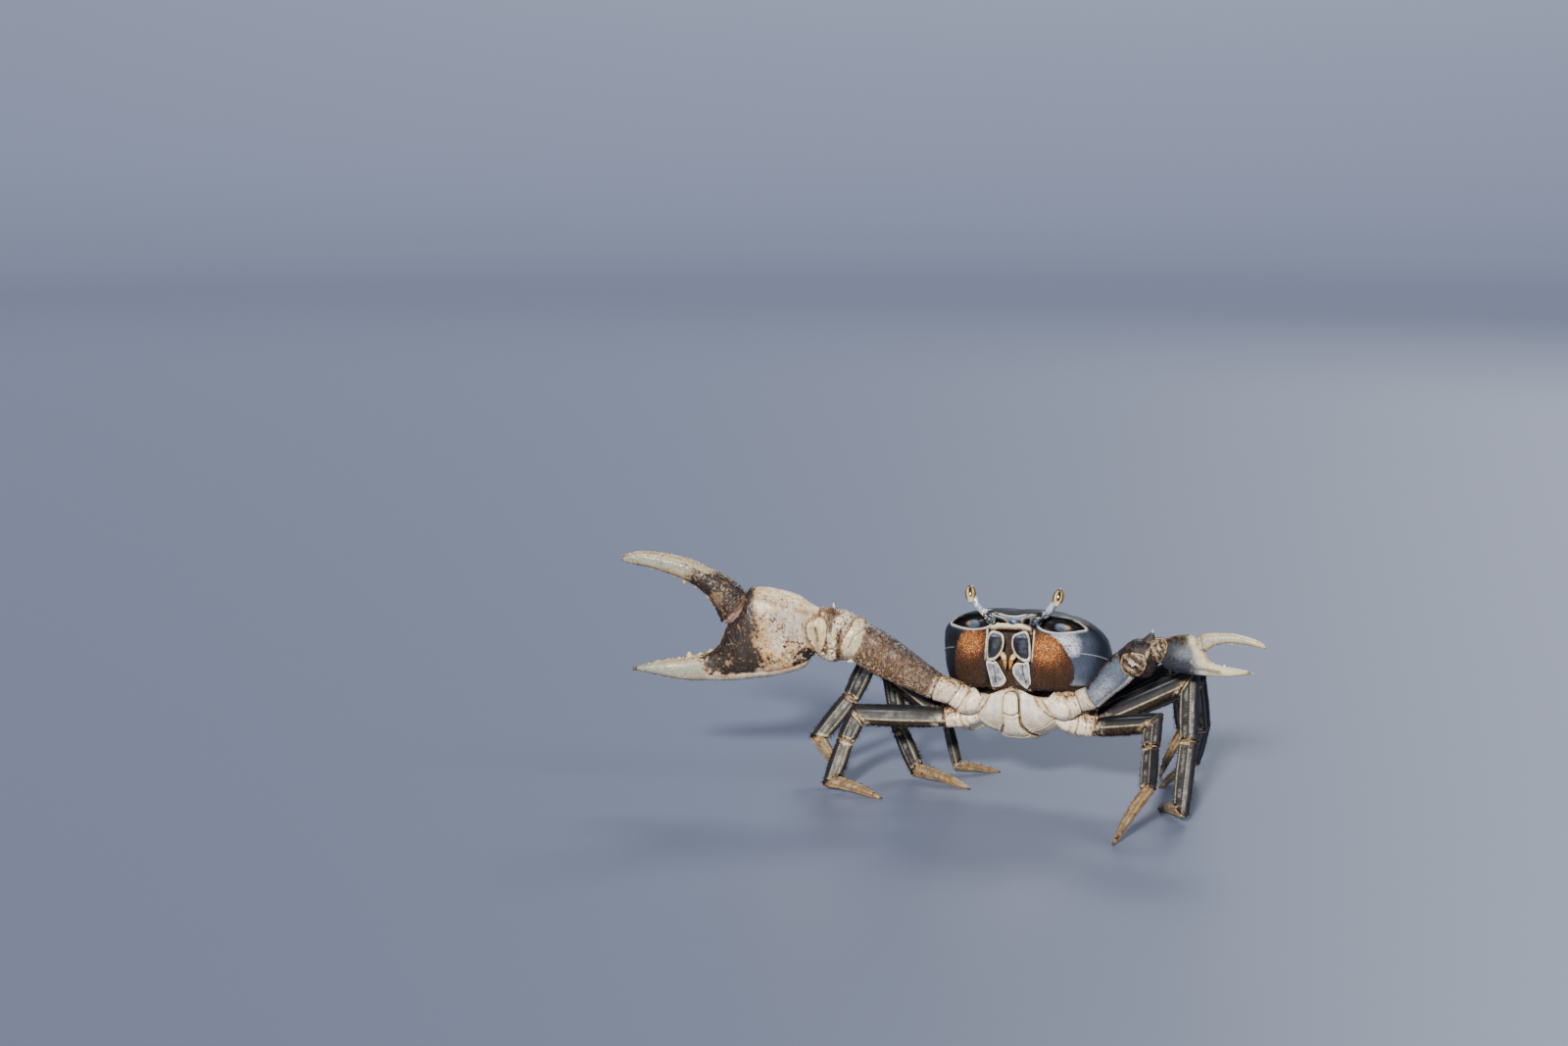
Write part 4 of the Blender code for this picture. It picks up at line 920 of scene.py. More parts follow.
def joint_fold(joint, before, after, side, sizes, reach=3.2, seed=1):
    """The wrinkled skin inside a joint, from within one segment to within the next."""
    u = np.linspace(-1, 1, FOLD_ROWS)
    spine = joint + np.where(u[:, None] < 0, before * (u * reach)[:, None], after * (u * reach)[:, None])
    bulge = 0.86 - 0.16 * u ** 2
    skin = tube_skin(spine, np.asarray(sizes) * bulge[:, None], side, columns=36)
    skin.dye((150, 116, 74))
    skin.lift(0.22 * np.sin(u * FOLD_WAVES)[:, None] * (1 + 0.5 * skin.cloud(3, seed)))
    skin.dye((70, 48, 30), 0.5 + 0.5 * np.sin(u * FOLD_WAVES + 1.6)[:, None])
    skin.wet += 0.2
    return skin


# %% Paint for each kind of leg segment
NAVY, FUZZ, LEG_CREAM = (20, 21, 25), (30, 22, 18), (206, 192, 164)


def streaks(skin, pitch, slant, seed):
    """Fine slanting lines across a segment, from 0 to 1."""
    wave = skin.mm / pitch + skin.back * slant
    return 0.5 + 0.5 * np.sin(2 * math.pi * wave + 2.5 * skin.cloud(3.5, seed))


def paint_merus(skin, seed):
    fine, blot = skin.cloud(1.2, seed), skin.cloud(2.0, seed + 3)
    skin.dye(NAVY)
    skin.dye((44, 46, 52), ease(skin.back, 0.55, 0.98) * (0.35 + 0.3 * blot))
    lower = ease(-skin.back, -0.25, 0.2) * (1 - ease(-skin.back, 0.36, 0.44))
    skin.dye((92, 96, 102), lower * (0.1 + 0.5 * streaks(skin, 0.9, 1.5, seed)))
    under = ease(-skin.back, 0.5, 0.58)
    skin.dye(FUZZ, under)
    skin.dye((58, 42, 30), under * ease(fine, 0.1, 0.6) * 0.6)
    middle = bump(skin.back, 0.26 + 0.12 * skin.t, 0.03)
    skin.dye((128, 136, 150), middle * 0.6)
    keel = bump(skin.back, -0.46, 0.055)
    skin.dye(LEG_CREAM, keel * (0.8 + 0.3 * fine))
    hip, knee = 1 - ease(skin.mm, 2, 10), 1 - ease(skin.left, 1.5, 6.5)
    below = ease(-skin.back, -0.35, 0.3)
    skin.dye((212, 200, 178), hip * below * ease(blot + 0.4 * fine, -0.5, 0.3))
    skin.dye((206, 186, 150), knee * ease(-skin.back, -0.2, 0.5) * ease(blot, -0.6, 0.2))
    skin.dye((124, 90, 56), knee * below * ease(skin.cloud(1.6, seed + 5), 0.15, 0.5))
    skin.dye((26, 20, 18), np.maximum(hip, knee) * ease(fine - 0.3 * blot, 0.45, 0.75))
    edge = ease(skin.back, 0.93, 0.99)
    skin.lift(0.34 * keel + 0.14 * middle + edge * (0.25 + 0.25 * fine) + under * (0.25 * fine - 0.15)
              + 0.05 * skin.cloud(3, seed + 2))
    skin.speck += 0.2 + 0.3 * under
    skin.stain += 0.2 + 0.2 * np.maximum(hip, knee) + 0.15 * under
    skin.wet += 0.1 - 0.4 * under


def paint_shank(skin, seed):
    """The carpus and the propodus: blue grey, dark along the back, with a painted highlight band on the
    flat.
    """
    fine, blot = skin.cloud(1.5, seed + 4), skin.cloud(4, seed)
    skin.dye((44, 46, 50))
    skin.dye((70, 66, 60), ease(skin.cloud(2.4, seed + 6), 0.0, 0.6) * 0.6)
    skin.dye((26, 28, 35), ease(skin.back + 0.15 * blot, 0.05, 0.45) * 0.9)
    # Painted highlight: a pale band along the flat face, where light would shine off it.
    band = bump(skin.back, -0.14, 0.17)
    skin.dye((146, 148, 148), band * ease(blot + 0.5 * fine, -0.6, 0.5) * 0.75)
    skin.dye((104, 104, 98), ease(-skin.back, 0.45, 0.7) * (0.3 + 0.5 * streaks(skin, 0.8, 1.0, seed)))
    skin.dye(FUZZ, ease(-skin.back, 0.82, 0.92) * 0.8)
    ridge = bump(skin.back, -0.66, 0.05) + 0.7 * bump(skin.back, 0.36, 0.035)
    dots = ease(np.sin(2 * math.pi * skin.mm / 1.5), -0.2, 0.5)
    skin.dye((220, 214, 194), ridge * (0.3 + 0.65 * dots))
    end = np.minimum(skin.mm, skin.left)
    skin.dye((216, 202, 172), (1 - ease(end + 0.8 * fine, 0.6, 3.2)) * ease(-skin.back, -0.7, 0.1))
    skin.dye((158, 98, 46), (1 - ease(end, 1, 4)) * ease(fine, 0.35, 0.7) * ease(-skin.back, -0.4, 0.3))
    ring = bump(skin.mm, 2.6 + 0.8 * skin.back, 0.32) * ease(blot, -0.8, -0.1)
    skin.dye((48, 30, 20), ring)
    skin.lift(0.22 * ridge - 0.28 * ring + 0.25 * bump(end, 1.3, 0.6) + 0.05 * fine)
    skin.speck += 0.2
    skin.stain += 0.26 + 0.12 * ease(skin.t, 0.4, 1) + 0.2 * (1 - ease(end, 1, 4))
    skin.wet += 0.2


def paint_dactyl(skin, seed):
    blot = skin.cloud(3, seed)
    skin.dye((160, 144, 112))
    skin.dye((84, 82, 76), 0.7 * ease(blot, -0.3, 0.4))
    skin.dye((192, 160, 106), 0.5 * ease(skin.cloud(2.5, seed + 2), 0.0, 0.6))
    ribs = 0.5 + 0.5 * np.cos(6 * skin.angle)
    skin.dye((70, 52, 36), (1 - ribs) * 0.6)
    skin.dye((50, 36, 26), ease(skin.t, 0.93, 0.985))
    skin.lift(0.35 * (ribs - 0.5) * (1 - 0.7 * skin.t) + 0.08 * skin.cloud(1.4, seed))
    skin.speck += 0.4
    skin.stain += 0.35


# %% Build the legs
def leg(key, joints, seed):
    start, knee, wrist, ankle, tip = (on_floor(p) for p in joints)
    scale = LEG_SCALE[key[1]]
    side = unit(np.cross(knee - start, ankle - knee))
    points = [hip_of(key[0], int(key[1]) + 1), start, knee, wrist, ankle, tip]
    runs, planes = joint_planes(points)
    hair, folds = [], []
    for k, name in enumerate(("merus", "carpus", "propodus")):
        low, mid, high = (value / 2 * scale for value in LEG_HEIGHT[name])
        thick = LEG_THICK[name] / 2 * scale
        sizes = [(0.0, low, thick * 0.9), (0.25, mid * 0.98, thick), (0.6, mid, thick),
                 (1.0, high, thick * 0.9)]
        skin = limb(points[k + 1], points[k + 2], side, planes[k:k + 2], sizes,
                    rows=130 if name == "merus" else 90)
        if name == "merus":
            paint_merus(skin, seed)
            marks = ((ease(-skin.back, 0.62, 0.95), 340, 2.3), )
        else:
            paint_shank(skin, seed + k * 7)
            marks = ((ease(-skin.back, 0.9, 0.98), 80 if k == 2 else 30, 3.0),
                     (ease(skin.back, 0.93, 0.99), 70 if k == 2 else 30, 2.1))
        new_piece(f"leg_{key}_{name}_skin", [skin], LIMB, [f"leg_{key}_{name}"])
        for mask, count, length in marks:
            roots, out, run, place, _ = pick(skin, mask, count, seed + k, k, 4)
            lengths = length * scale * np.random.default_rng(seed + k).uniform(0.35, 1.0, count)
            ways = out + run * (0.9 if k == 0 else 0.5)
            hair.append(bristle_shape(roots - out * 0.1, ways, lengths, 0.11, tint(30, 21, 16), place,
                                      seed=seed))
        folds.append(joint_fold(points[k + 2], runs[k + 1], runs[k + 2], side, (high, thick * 0.9),
                                seed=seed))
    hip_size = (LEG_HEIGHT["merus"][0] / 2 * scale, LEG_THICK["merus"] * 0.45 * scale)
    folds.append(joint_fold(points[1], runs[0], runs[1], side, hip_size, seed=seed))
    root, thick = LEG_HEIGHT["propodus"][2] / 2 * scale, LEG_THICK["dactyl"] / 2 * scale
    sizes = [(0.0, root * 0.86, thick * 1.1), (0.3, root * 0.76, thick), (0.65, root * 0.6, thick * 0.8),
             (0.85, root * 0.4, thick * 0.6), (1.0, DACTYL_TIP, DACTYL_TIP)]
    axis = unit(tip - ankle)
    foot = tip + (0, 0, 0.1)
    skin = limb(ankle, foot, side, (planes[3], axis), sizes, rows=90, bend=DACTYL_BOW, lips=(1.0, 0.0))
    paint_dactyl(skin, seed + 40)
    skin.points[..., 2] = np.maximum(skin.points[..., 2], ABOVE_FLOOR)
    new_piece(f"leg_{key}_dactyl_skin", [skin], HORN, [f"leg_{key}_dactyl"])
    rows = ease(np.cos(6 * skin.angle), 0.9, 1.0) * ease(skin.t, 0.08, 0.15) * (1 - ease(skin.t, 0.85, 0.92))
    roots, out, run, place, _ = pick(skin, rows, 120, seed + 9, 3, 4)
    keep = roots[:, 2] > 2.5
    lengths = 1.6 * scale * np.random.default_rng(seed).uniform(0.5, 1.1, keep.sum())
    hair.append(bristle_shape(roots[keep], out[keep] + run[keep] * 0.9, lengths, 0.14, tint(40, 28, 20),
                              place[keep], seed=seed))
    new_piece(f"leg_{key}_folds", folds, SKIN)
    new_piece(f"leg_{key}_bristles", hair, BRISTLE)


for number, (key, joints) in enumerate(LEGS.items()):
    leg(key, joints, 20 + 10 * number)

# %% [markdown]
# ## Claws
#
# The large claw is a flat, swollen palm with two long curved fingers, worn and stained, with blunt
# teeth on the biting edges. The small one is the same tool in miniature, cleaner and bluer. Each
# is drawn flat, as a side view in millimetres from the wrist, with a thickness at every place, and
# then set in its own plane. The stains are painted in the same flat view.

# %% Tables of the claws
CLAWS = {
    "r": dict(ischium=(-41, -17, 60), merus=(-50, -13, 62), elbow=(-94, -1, 86), wrist=(-117, 3, 91),
              axis=(-1.0, 0.06, -0.04), up=(-0.04, 0.0, 1.0), size=1.03, tall=1.0, gape=0.0, spike=0.5),
    "l": dict(ischium=(26, -36, 59.5), merus=(34, -38, 62), elbow=(51, -47, 83), wrist=(68, -54, 91.5),
              axis=(0.93, -0.36, 0.0), up=(0.0, 0.0, 1.0), size=0.505, tall=0.84, gape=-26.0, spike=0.7),
}
CLAW_BASE, SPIKE = 7.5, 4.0
PALM_GRID = {"r": (144, 330), "l": (112, 250)}
FINGER_GRID = {"r": (112, 260), "l": (88, 200)}
PALM = [(0, 12.0, -14.0), (8, 18.5, -20.5), (18, 22.5, -23.5), (29, 24.6, -25.0), (36.5, 23.4, -25.5),
        (43, 14.0, -26.0), (49.5, 4.0, -26.2), (54.5, -6.5, -26.3), (61, -11.0, -26.0), (72, -13.3, -25.6),
        (84, -14.5, -23.6), (95, -16.2, -20.8), (103, -18.0, -19.5)]
PALM_THICK = [(0, 8.0), (8, 10.5), (18, 12.0), (29, 12.5), (36.5, 12.0), (43, 11.0), (49.5, 9.0),
              (54.5, 7.5), (61, 6.5), (72, 5.6), (84, 4.6), (95, 3.0), (103, 0.9)]
PALM_TEETH = [(59, -9.8, 1.0), (65, -12.0, 1.4), (71, -13.0, 3.2), (77, -13.8, 1.0), (83, -14.3, 0.9),
              (89, -15.2, 0.8)]
FINGER_OUTER = [(39.0, 23.5), (45.5, 29.5), (55.0, 35.0), (67.5, 41.5), (80.0, 45.0), (92.0, 46.8),
                (101.5, 46.0), (106.0, 43.0)]
FINGER_INNER = [(52.3, 6.5), (56.5, 16.5), (61.5, 23.5), (71.0, 30.5), (82.0, 35.2), (92.0, 38.6),
                (100.5, 40.6), (105.4, 42.0)]
FINGER_THICK = [(0, 8.5), (1, 8.0), (2, 7.0), (3, 6.0), (4, 5.2), (5, 4.4), (6, 3.0), (7, 0.8)]
FINGER_TEETH = [(59, 20.0, 0.8), (65.5, 26.6, 1.0), (71.5, 30.8, 3.0), (77, 33.2, 1.0), (83, 35.6, 0.9),
                (89, 37.4, 0.8)]
FINGER_PIVOT = np.array((50.5, 9.0))
WRIST_PLATE = [(0.8, 9.6), (4.4, 7.0), (5.8, 2.2), (3.9, -5.0), (-0.3, -12.9), (-2.9, -9.5), (-5.0, -3.6),
               (-6.2, 2.5), (-5.2, 7.6), (-2.0, 9.6)]
ELBOW_PLATE = [(-26.8, 6.4), (-22.0, 8.0), (-17.8, 3.0), (-14.2, -2.0), (-12.6, -8.0), (-13.6, -14.0),
               (-17.5, -16.2), (-23.0, -13.5), (-26.4, -8.5), (-27.2, -1.0)]
SMALL_WRIST_PLATE = [(-7.7, 15.6), (-1.0, 18.6), (7.5, 17.6), (11.1, 12.0), (9.6, 2.0), (5.2, -9.0),
                     (2.0, -13.0), (-3.5, -9.5), (-6.6, -1.0), (-8.8, 7.0)]
SMALL_ELBOW_PLATE = [(-37.7, -6.0), (-30.0, -0.6), (-20.0, 0.6), (-12.6, -2.0), (-10.2, -12.0),
                     (-12.6, -23.0), (-19.0, -30.5), (-27.0, -33.6), (-34.5, -29.5), (-39.0, -20.0)]


class Grip:
    """The plane of one claw: a runs along it from the wrist, b up and c through its thickness."""

    def __init__(self, spec):
        self.axis = unit(spec["axis"])
        up = np.asarray(spec["up"], float)
        self.up = unit(up - self.axis * (up @ self.axis))
        self.across = np.cross(self.axis, self.up)
        self.size, self.tall = spec["size"], spec["tall"]
        self.gape = math.radians(spec["gape"])
        self.origin = on_floor(spec["wrist"])
        self.front = -1 if self.across[1] > 0 else 1

    def at(self, a, b, c=0.0):
        a, b, c = (np.asarray(v, float)[..., None] for v in (a, b, c))
        return self.origin + (self.axis * a + self.up * (b * self.tall) + self.across * c) * self.size

    def flat(self, points):
        """Where points lie in the flat view: a, b and c."""
        away = (np.asarray(points, float) - self.origin) / self.size
        return away @ self.axis, away @ self.up / self.tall, away @ self.across

    def swung(self, a, b, c=0.0):
        """The same place carried round the finger's hinge by the claw's gape."""
        da, db = np.asarray(a, float) - FINGER_PIVOT[0], np.asarray(b, float) - FINGER_PIVOT[1]
        cos, sin = math.cos(self.gape), math.sin(self.gape)
        return self.at(FINGER_PIVOT[0] + da * cos - db * sin, FINGER_PIVOT[1] + da * sin + db * cos, c)


def tooth_shape(place, a, b, height, size, lean, colour, seed):
    """A blunt worn tooth on a biting edge; a negative height points down."""
    root, tip = place(a - lean, b - math.copysign(1.2, height)), place(a + lean, b + height)
    rise = np.linspace(0, 1, 7)
    spine = root + (tip - root) * rise[:, None]
    wide = size * np.array((2.5, 2.35, 2.1, 1.75, 1.35, 0.9, 0.4))
    skin = tube_skin(spine, np.column_stack([wide, wide * 0.8]), place(a, b, 1.0) - place(a, b), columns=18)
    skin.dye(colour)
    skin.lift(0.12 * size * skin.cloud(1.2, seed))
    skin.dye((70, 50, 36), 0.5 * (1 - ease(rise[:, None], 0.2, 0.6)))
    skin.speck += 0.5
    return skin


# %% Loose plates, laid on a bed
def plate_skin(outline, place, profile, depth=1.5, rings=40, per=12):
    """A loose plate from its outline in a flat view. place(a, b, out) gives the point that stands out
    from the bed at a, b, and profile holds (share of the way in, height)."""
    line = closed_curve(outline, per)
    centre = line.mean(axis=0)
    inward = np.linspace(0, 0.985, rings)
    shrink = np.concatenate([[0, 0, 0], inward])
    flat = centre + (line - centre)[None] * (1 - shrink)[:, None, None]
    out = np.concatenate([[-depth, -depth / 2, -0.25], curve(profile, inward)])
    skin = Skin(place(flat[..., 0], flat[..., 1], out[:, None] * np.ones(len(line))))
    skin.a, skin.b, skin.inward = flat[..., 0], flat[..., 1], shrink[:, None] * np.ones(len(line))
    skin.wall = (np.arange(len(out)) < 3)[:, None] * np.ones(len(line))
    return skin


def front_of(grip, skins):
    """The bed that the front of some claw skins makes for loose plates."""
    spots = []
    for skin in skins:
        seen = np.broadcast_to(skin.near > 0.1, skin.speck.shape)
        spots.append(np.stack(grip.flat(skin.points), -1)[seen])
    spots = np.concatenate(spots)[::3]

    def place(a, b, out):
        gap = np.linalg.norm(np.stack([a, b], -1).reshape(-1, 1, 2) - spots[None, :, :2], axis=-1)
        weight = np.exp(-(gap / 1.6) ** 2) + 1e-9
        c = (weight @ spots[:, 2] / weight.sum(axis=1)).reshape(a.shape)
        return grip.at(a, b, c + grip.front * out / grip.size)

    return place


# %% Palms
def palm_skin(grip, face, columns, rows):
    """The palm and its fixed finger. a and b are kept as places in the flat view, and near is 1 on
    the side that looks forward."""
    spread = np.linspace(0, PALM[-1][0], 1200)
    edges = curve([(a, top, low) for a, top, low in PALM], spread)
    run = np.concatenate([[0], np.cumsum(np.hypot(np.diff(spread), 0.7 * np.diff(edges[:, 0])))])
    a = np.interp(np.linspace(0, run[-1], rows), run, spread)
    top, low = np.moveaxis(curve(PALM, a), -1, 0)
    thick = curve(PALM_THICK, a)
    _, c, s = oval(columns, BOXY)
    b = ((top + low) / 2)[:, None] + ((top - low) / 2)[:, None] * s
    flat = np.ones(columns)
    points = grip.at(a[:, None] * flat, b, thick[:, None] * c)
    slant = ((points - grip.origin) @ face) / (grip.axis @ face)
    start = slant - a[:, None] * grip.size
    points = points - grip.axis * (start * (1 - ease(a, 0, 7))[:, None])[..., None]
    skin = Skin(points)
    skin.a, skin.b, skin.near = a[:, None] * flat, b, c[None, :] * grip.front * np.ones(b.shape)
    skin.top, skin.low, skin.s = top[:, None] * flat, low[:, None] * flat, s[None] * flat
    return skin


def finger_skin(grip, columns, rows):
    """The movable finger, between its outer and inner edges."""
    k = np.linspace(0, len(FINGER_OUTER) - 1, rows)
    outer = curve([(i, *p) for i, p in enumerate(FINGER_OUTER)], k)
    inner = curve([(i, *p) for i, p in enumerate(FINGER_INNER)], k)
    thick = curve(FINGER_THICK, k)
    _, c, s = oval(columns, 2.3)
    middle, half_width = (outer + inner) / 2, (outer - inner) / 2
    flat = middle[:, None] + half_width[:, None] * s[None, :, None]
    skin = Skin(grip.swung(flat[..., 0], flat[..., 1], thick[:, None] * c))
    skin.t, skin.s = (k / k[-1])[:, None] * np.ones(columns), s[None] * np.ones((rows, 1))
    skin.near = c[None] * grip.front * np.ones((rows, 1))
    skin.a, skin.b = flat[..., 0], flat[..., 1]
    return skin


def patch(skin, a, b, wide, high=None):
    """A soft oval area of the flat view."""
    return np.exp(-((skin.a - a) / wide) ** 2 - ((skin.b - b) / (high or wide)) ** 2)


def along_line(skin, points, width):
    return np.exp(-(line_distance(np.stack([skin.a, skin.b], -1), points) / width) ** 2)


def dark_gap(skin, outlines, width):
    """Darker paint round loose plates, from 0 to 1."""
    spots = np.stack([skin.a, skin.b], -1)
    gap = np.minimum.reduce([line_distance(spots, closed_curve(outline, 4), True) for outline in outlines])
    return np.exp(-(gap / width) ** 2) * ease(skin.near, -0.1, 0.2)


# %% Paint the large claw
BONE, CLAW_CREAM, CLAW_TEAL = (216, 204, 184), (238, 220, 184), (124, 148, 148)
PALM_SPOTS = [(20, 5, 3), (15.6, -0.4, 3), (6.4, -10.5, 3.5), (11.4, -16, 3), (17.7, -6, 2.5), (24, 9, 3),
              (9, -4, 2.5), (3, -12, 3)]


def paint_large_palm(skin):
    rough_cloud, small_cloud = skin.cloud(9, 31), skin.cloud(2.2, 32)
    fine, grit = skin.cloud(1.0, 33), skin.cloud(0.6, 34)
    skin.dye(BONE)
    skin.dye((160, 170, 182), patch(skin, 14, 5, 12, 8) * (0.7 + 0.4 * small_cloud))
    skin.dye((138, 148, 160), patch(skin, 22, 11, 5, 4) * 0.7)
    skin.dye((238, 232, 222), patch(skin, 22, -4, 6, 4.5) * (0.7 + 0.4 * small_cloud))
    skin.dye((212, 184, 132), patch(skin, 27, -12, 9, 7) * (0.7 + 0.5 * small_cloud))
    skin.dye((196, 156, 98), patch(skin, 16, -15, 12, 3.5) * ease(small_cloud + fine, -0.5, 0.5) * 0.8)
    skin.dye((176, 118, 62), along_line(skin, [(30, 14), (31, 3), (30, -8), (30, -16)], 3.2)
             * ease(small_cloud + fine * 0.6, -0.2, 0.6))
    rim_top = ease(skin.b - skin.top, -3.4, -1.2) * (1 - ease(skin.a, 34, 38))
    skin.dye(CLAW_CREAM, rim_top)
    # Painted shadow: a dark line under the cream rim along the top of the palm.
    skin.dye((84, 68, 54), along_line(skin, [(27, 18.2), (22, 17.4), (15, 15.0), (10.3, 13.2), (4.6, 11.2)],
                                      1.3)
             * ease(small_cloud, -0.9, 0.2) * 0.9)
    crease = along_line(skin, [(48, -21.5), (31, -21.2), (23.2, -20.4), (14.4, -18.7), (7.6, -16.4),
                               (0, -14)], 0.6)
    fringe = ease(np.interp(skin.a, [0, 7.6, 14.4, 23.2, 31, 60, 103],
                            [-14, -16.4, -18.7, -20.4, -21.2, -22.6, -23])
                  - skin.b, 0, 0.9)
    skin.dye((222, 214, 192), fringe * 0.9)
    skin.dye((146, 84, 36), crease * ease(small_cloud, -0.7, 0.1))
    finger = ease(skin.a, 58, 66)
    skin.dye((176, 170, 144), finger)
    middle = (skin.top + skin.low) / 2
    skin.dye(CLAW_TEAL, finger * bump(skin.b - middle, 0, 3.2) * (0.75 + 0.3 * small_cloud))
    ragged = skin.a + 5 * rough_cloud
    band = ease(skin.a + 3 * rough_cloud, 31, 37.5) * (1 - ease(ragged + 2 * small_cloud, 55, 66))
    band = band * ease(skin.b + 1.5 * small_cloud, -22.5, -19.5)
    fringe_band = ease(ragged + 3 * small_cloud + 1.5 * grit, 25, 35) * (1 - ease(skin.a, 58, 66))
    fringe_band = fringe_band * ease(skin.b, -21.5, -18.5)
    skin.dye((164, 126, 82), fringe_band * 0.75)
    skin.dye((56, 40, 30), band * 0.9)
    skin.dye((150, 122, 100), patch(skin, 50, -14, 4, 3) * band * 0.8)
    skin.stain += 0.4 * fringe_band + 0.44 * band + 0.1 * band * small_cloud
    skin.stain -= 0.35 * patch(skin, 49, -14.5, 3, 2.5)
    skin.dye((120, 108, 112), patch(skin, 42, -17, 3.5, 2.6) * band * 0.7)
    gap = dark_gap(skin, (WRIST_PLATE,), 1.2)
    skin.dye((52, 36, 28), gap * ease(small_cloud, -0.9, -0.1) * 0.85)
    spots = sum(patch(skin, *spot) for spot in PALM_SPOTS)
    skin.dye((200, 162, 104), 0.75 * ease(small_cloud + 0.3 * grit, 0.0, 0.5) * (1 - band) * (1 - finger))
    wrist_dirt = (1 - ease(skin.a + 2 * small_cloud, 8, 17)) * ease(-skin.b, 5, 10) * (1 - fringe)
    bare = (1 - finger) * (1 - fringe_band) * (1 - 0.8 * rim_top) * (1 - fringe)
    skin.stain += (0.33 + 0.07 * rough_cloud) * bare + 0.2 * np.clip(spots, 0, 1) + 0.26 * wrist_dirt
    skin.stain += 0.15 * along_line(skin, [(36, -12), (24, -14)], 4)
    skin.stain += finger * (0.2 + 0.2 * bump(skin.s, 0.9, 0.12) + 0.3 * (1 - ease(skin.a, 60, 70)))
    tip = ease(skin.a + small_cloud, 98, 101.5)
    skin.dye((46, 38, 34), tip)
    edge = ease(np.abs(skin.s), 0.95, 0.995) * finger
    skin.dye((150, 128, 96), edge * (0.5 + 0.5 * fine))
    skin.speck += 0.3 + 0.5 * np.clip(spots, 0, 1) + 0.3 * bump(skin.a, 29, 4)
    skin.crack += 0.12 * (1 - finger)
    skin.lift(-0.45 * crease + 0.45 * rim_top + 0.12 * small_cloud * (1 - tip) + 0.22 * band * fine
              + 0.5 * edge * (0.3 + 0.5 * fine) + 0.25 * rough_cloud * (1 - ease(skin.a, 60, 80)))
    skin.wet += -0.15 - 0.2 * band


def paint_large_finger(skin):
    small_cloud, fine, grit = (skin.cloud(size, 41) for size in (2.2, 1.0, 0.6))
    skin.dye((178, 168, 138))
    skin.dye(CLAW_TEAL, bump(skin.s, 0.1, 0.42) * (0.8 + 0.25 * small_cloud))
    base = 1 - ease(skin.t + 0.06 * skin.cloud(7, 43) + 0.16 * ease(skin.s, 0.3, 0.9), 0.36, 0.52)
    skin.dye((58, 44, 36), base * 0.9)
    skin.stain += 0.26 + 0.54 * base + 0.1 * base * small_cloud + 0.12 * ease(np.abs(skin.s), 0.6, 0.9)
    worn = base * patch(skin, 54, 22, 4, 5)
    skin.stain -= 0.35 * worn + 0.3 * ease(skin.t, 0.55, 0.7) * ease(0.6 - np.abs(skin.s), 0, 0.3)
    skin.dye((150, 138, 128), worn * ease(grit, 0.0, 0.5) * 0.8)
    inner = ease(-skin.s, 0.7, 0.95)
    skin.dye((176, 144, 98), inner * (1 - base) * 0.7)
    skin.dye((120, 84, 54), inner * ease(fine, 0.1, 0.6) * 0.6)
    outer = ease(skin.s, 0.9, 0.98)
    skin.dye((206, 190, 152), outer * (1 - base) * 0.8)
    skin.dye((112, 84, 58), bump(skin.s, 0.93, 0.035) * ease(fine, -0.2, 0.5) * 0.7)
    tip = ease(skin.t + 0.01 * small_cloud, 0.955, 0.98)
    skin.dye((44, 36, 34), tip)
    skin.speck += 0.4
    edge = np.maximum(inner, outer) * (1 - tip)
    skin.lift(0.14 * small_cloud * (1 - tip) + 0.3 * edge * fine + 0.2 * base * fine - 0.25
              * bump(skin.s, 0.62, 0.1) * (1 - ease(skin.t, 0.7, 0.95)))
    skin.wet += -0.1 - 0.1 * base


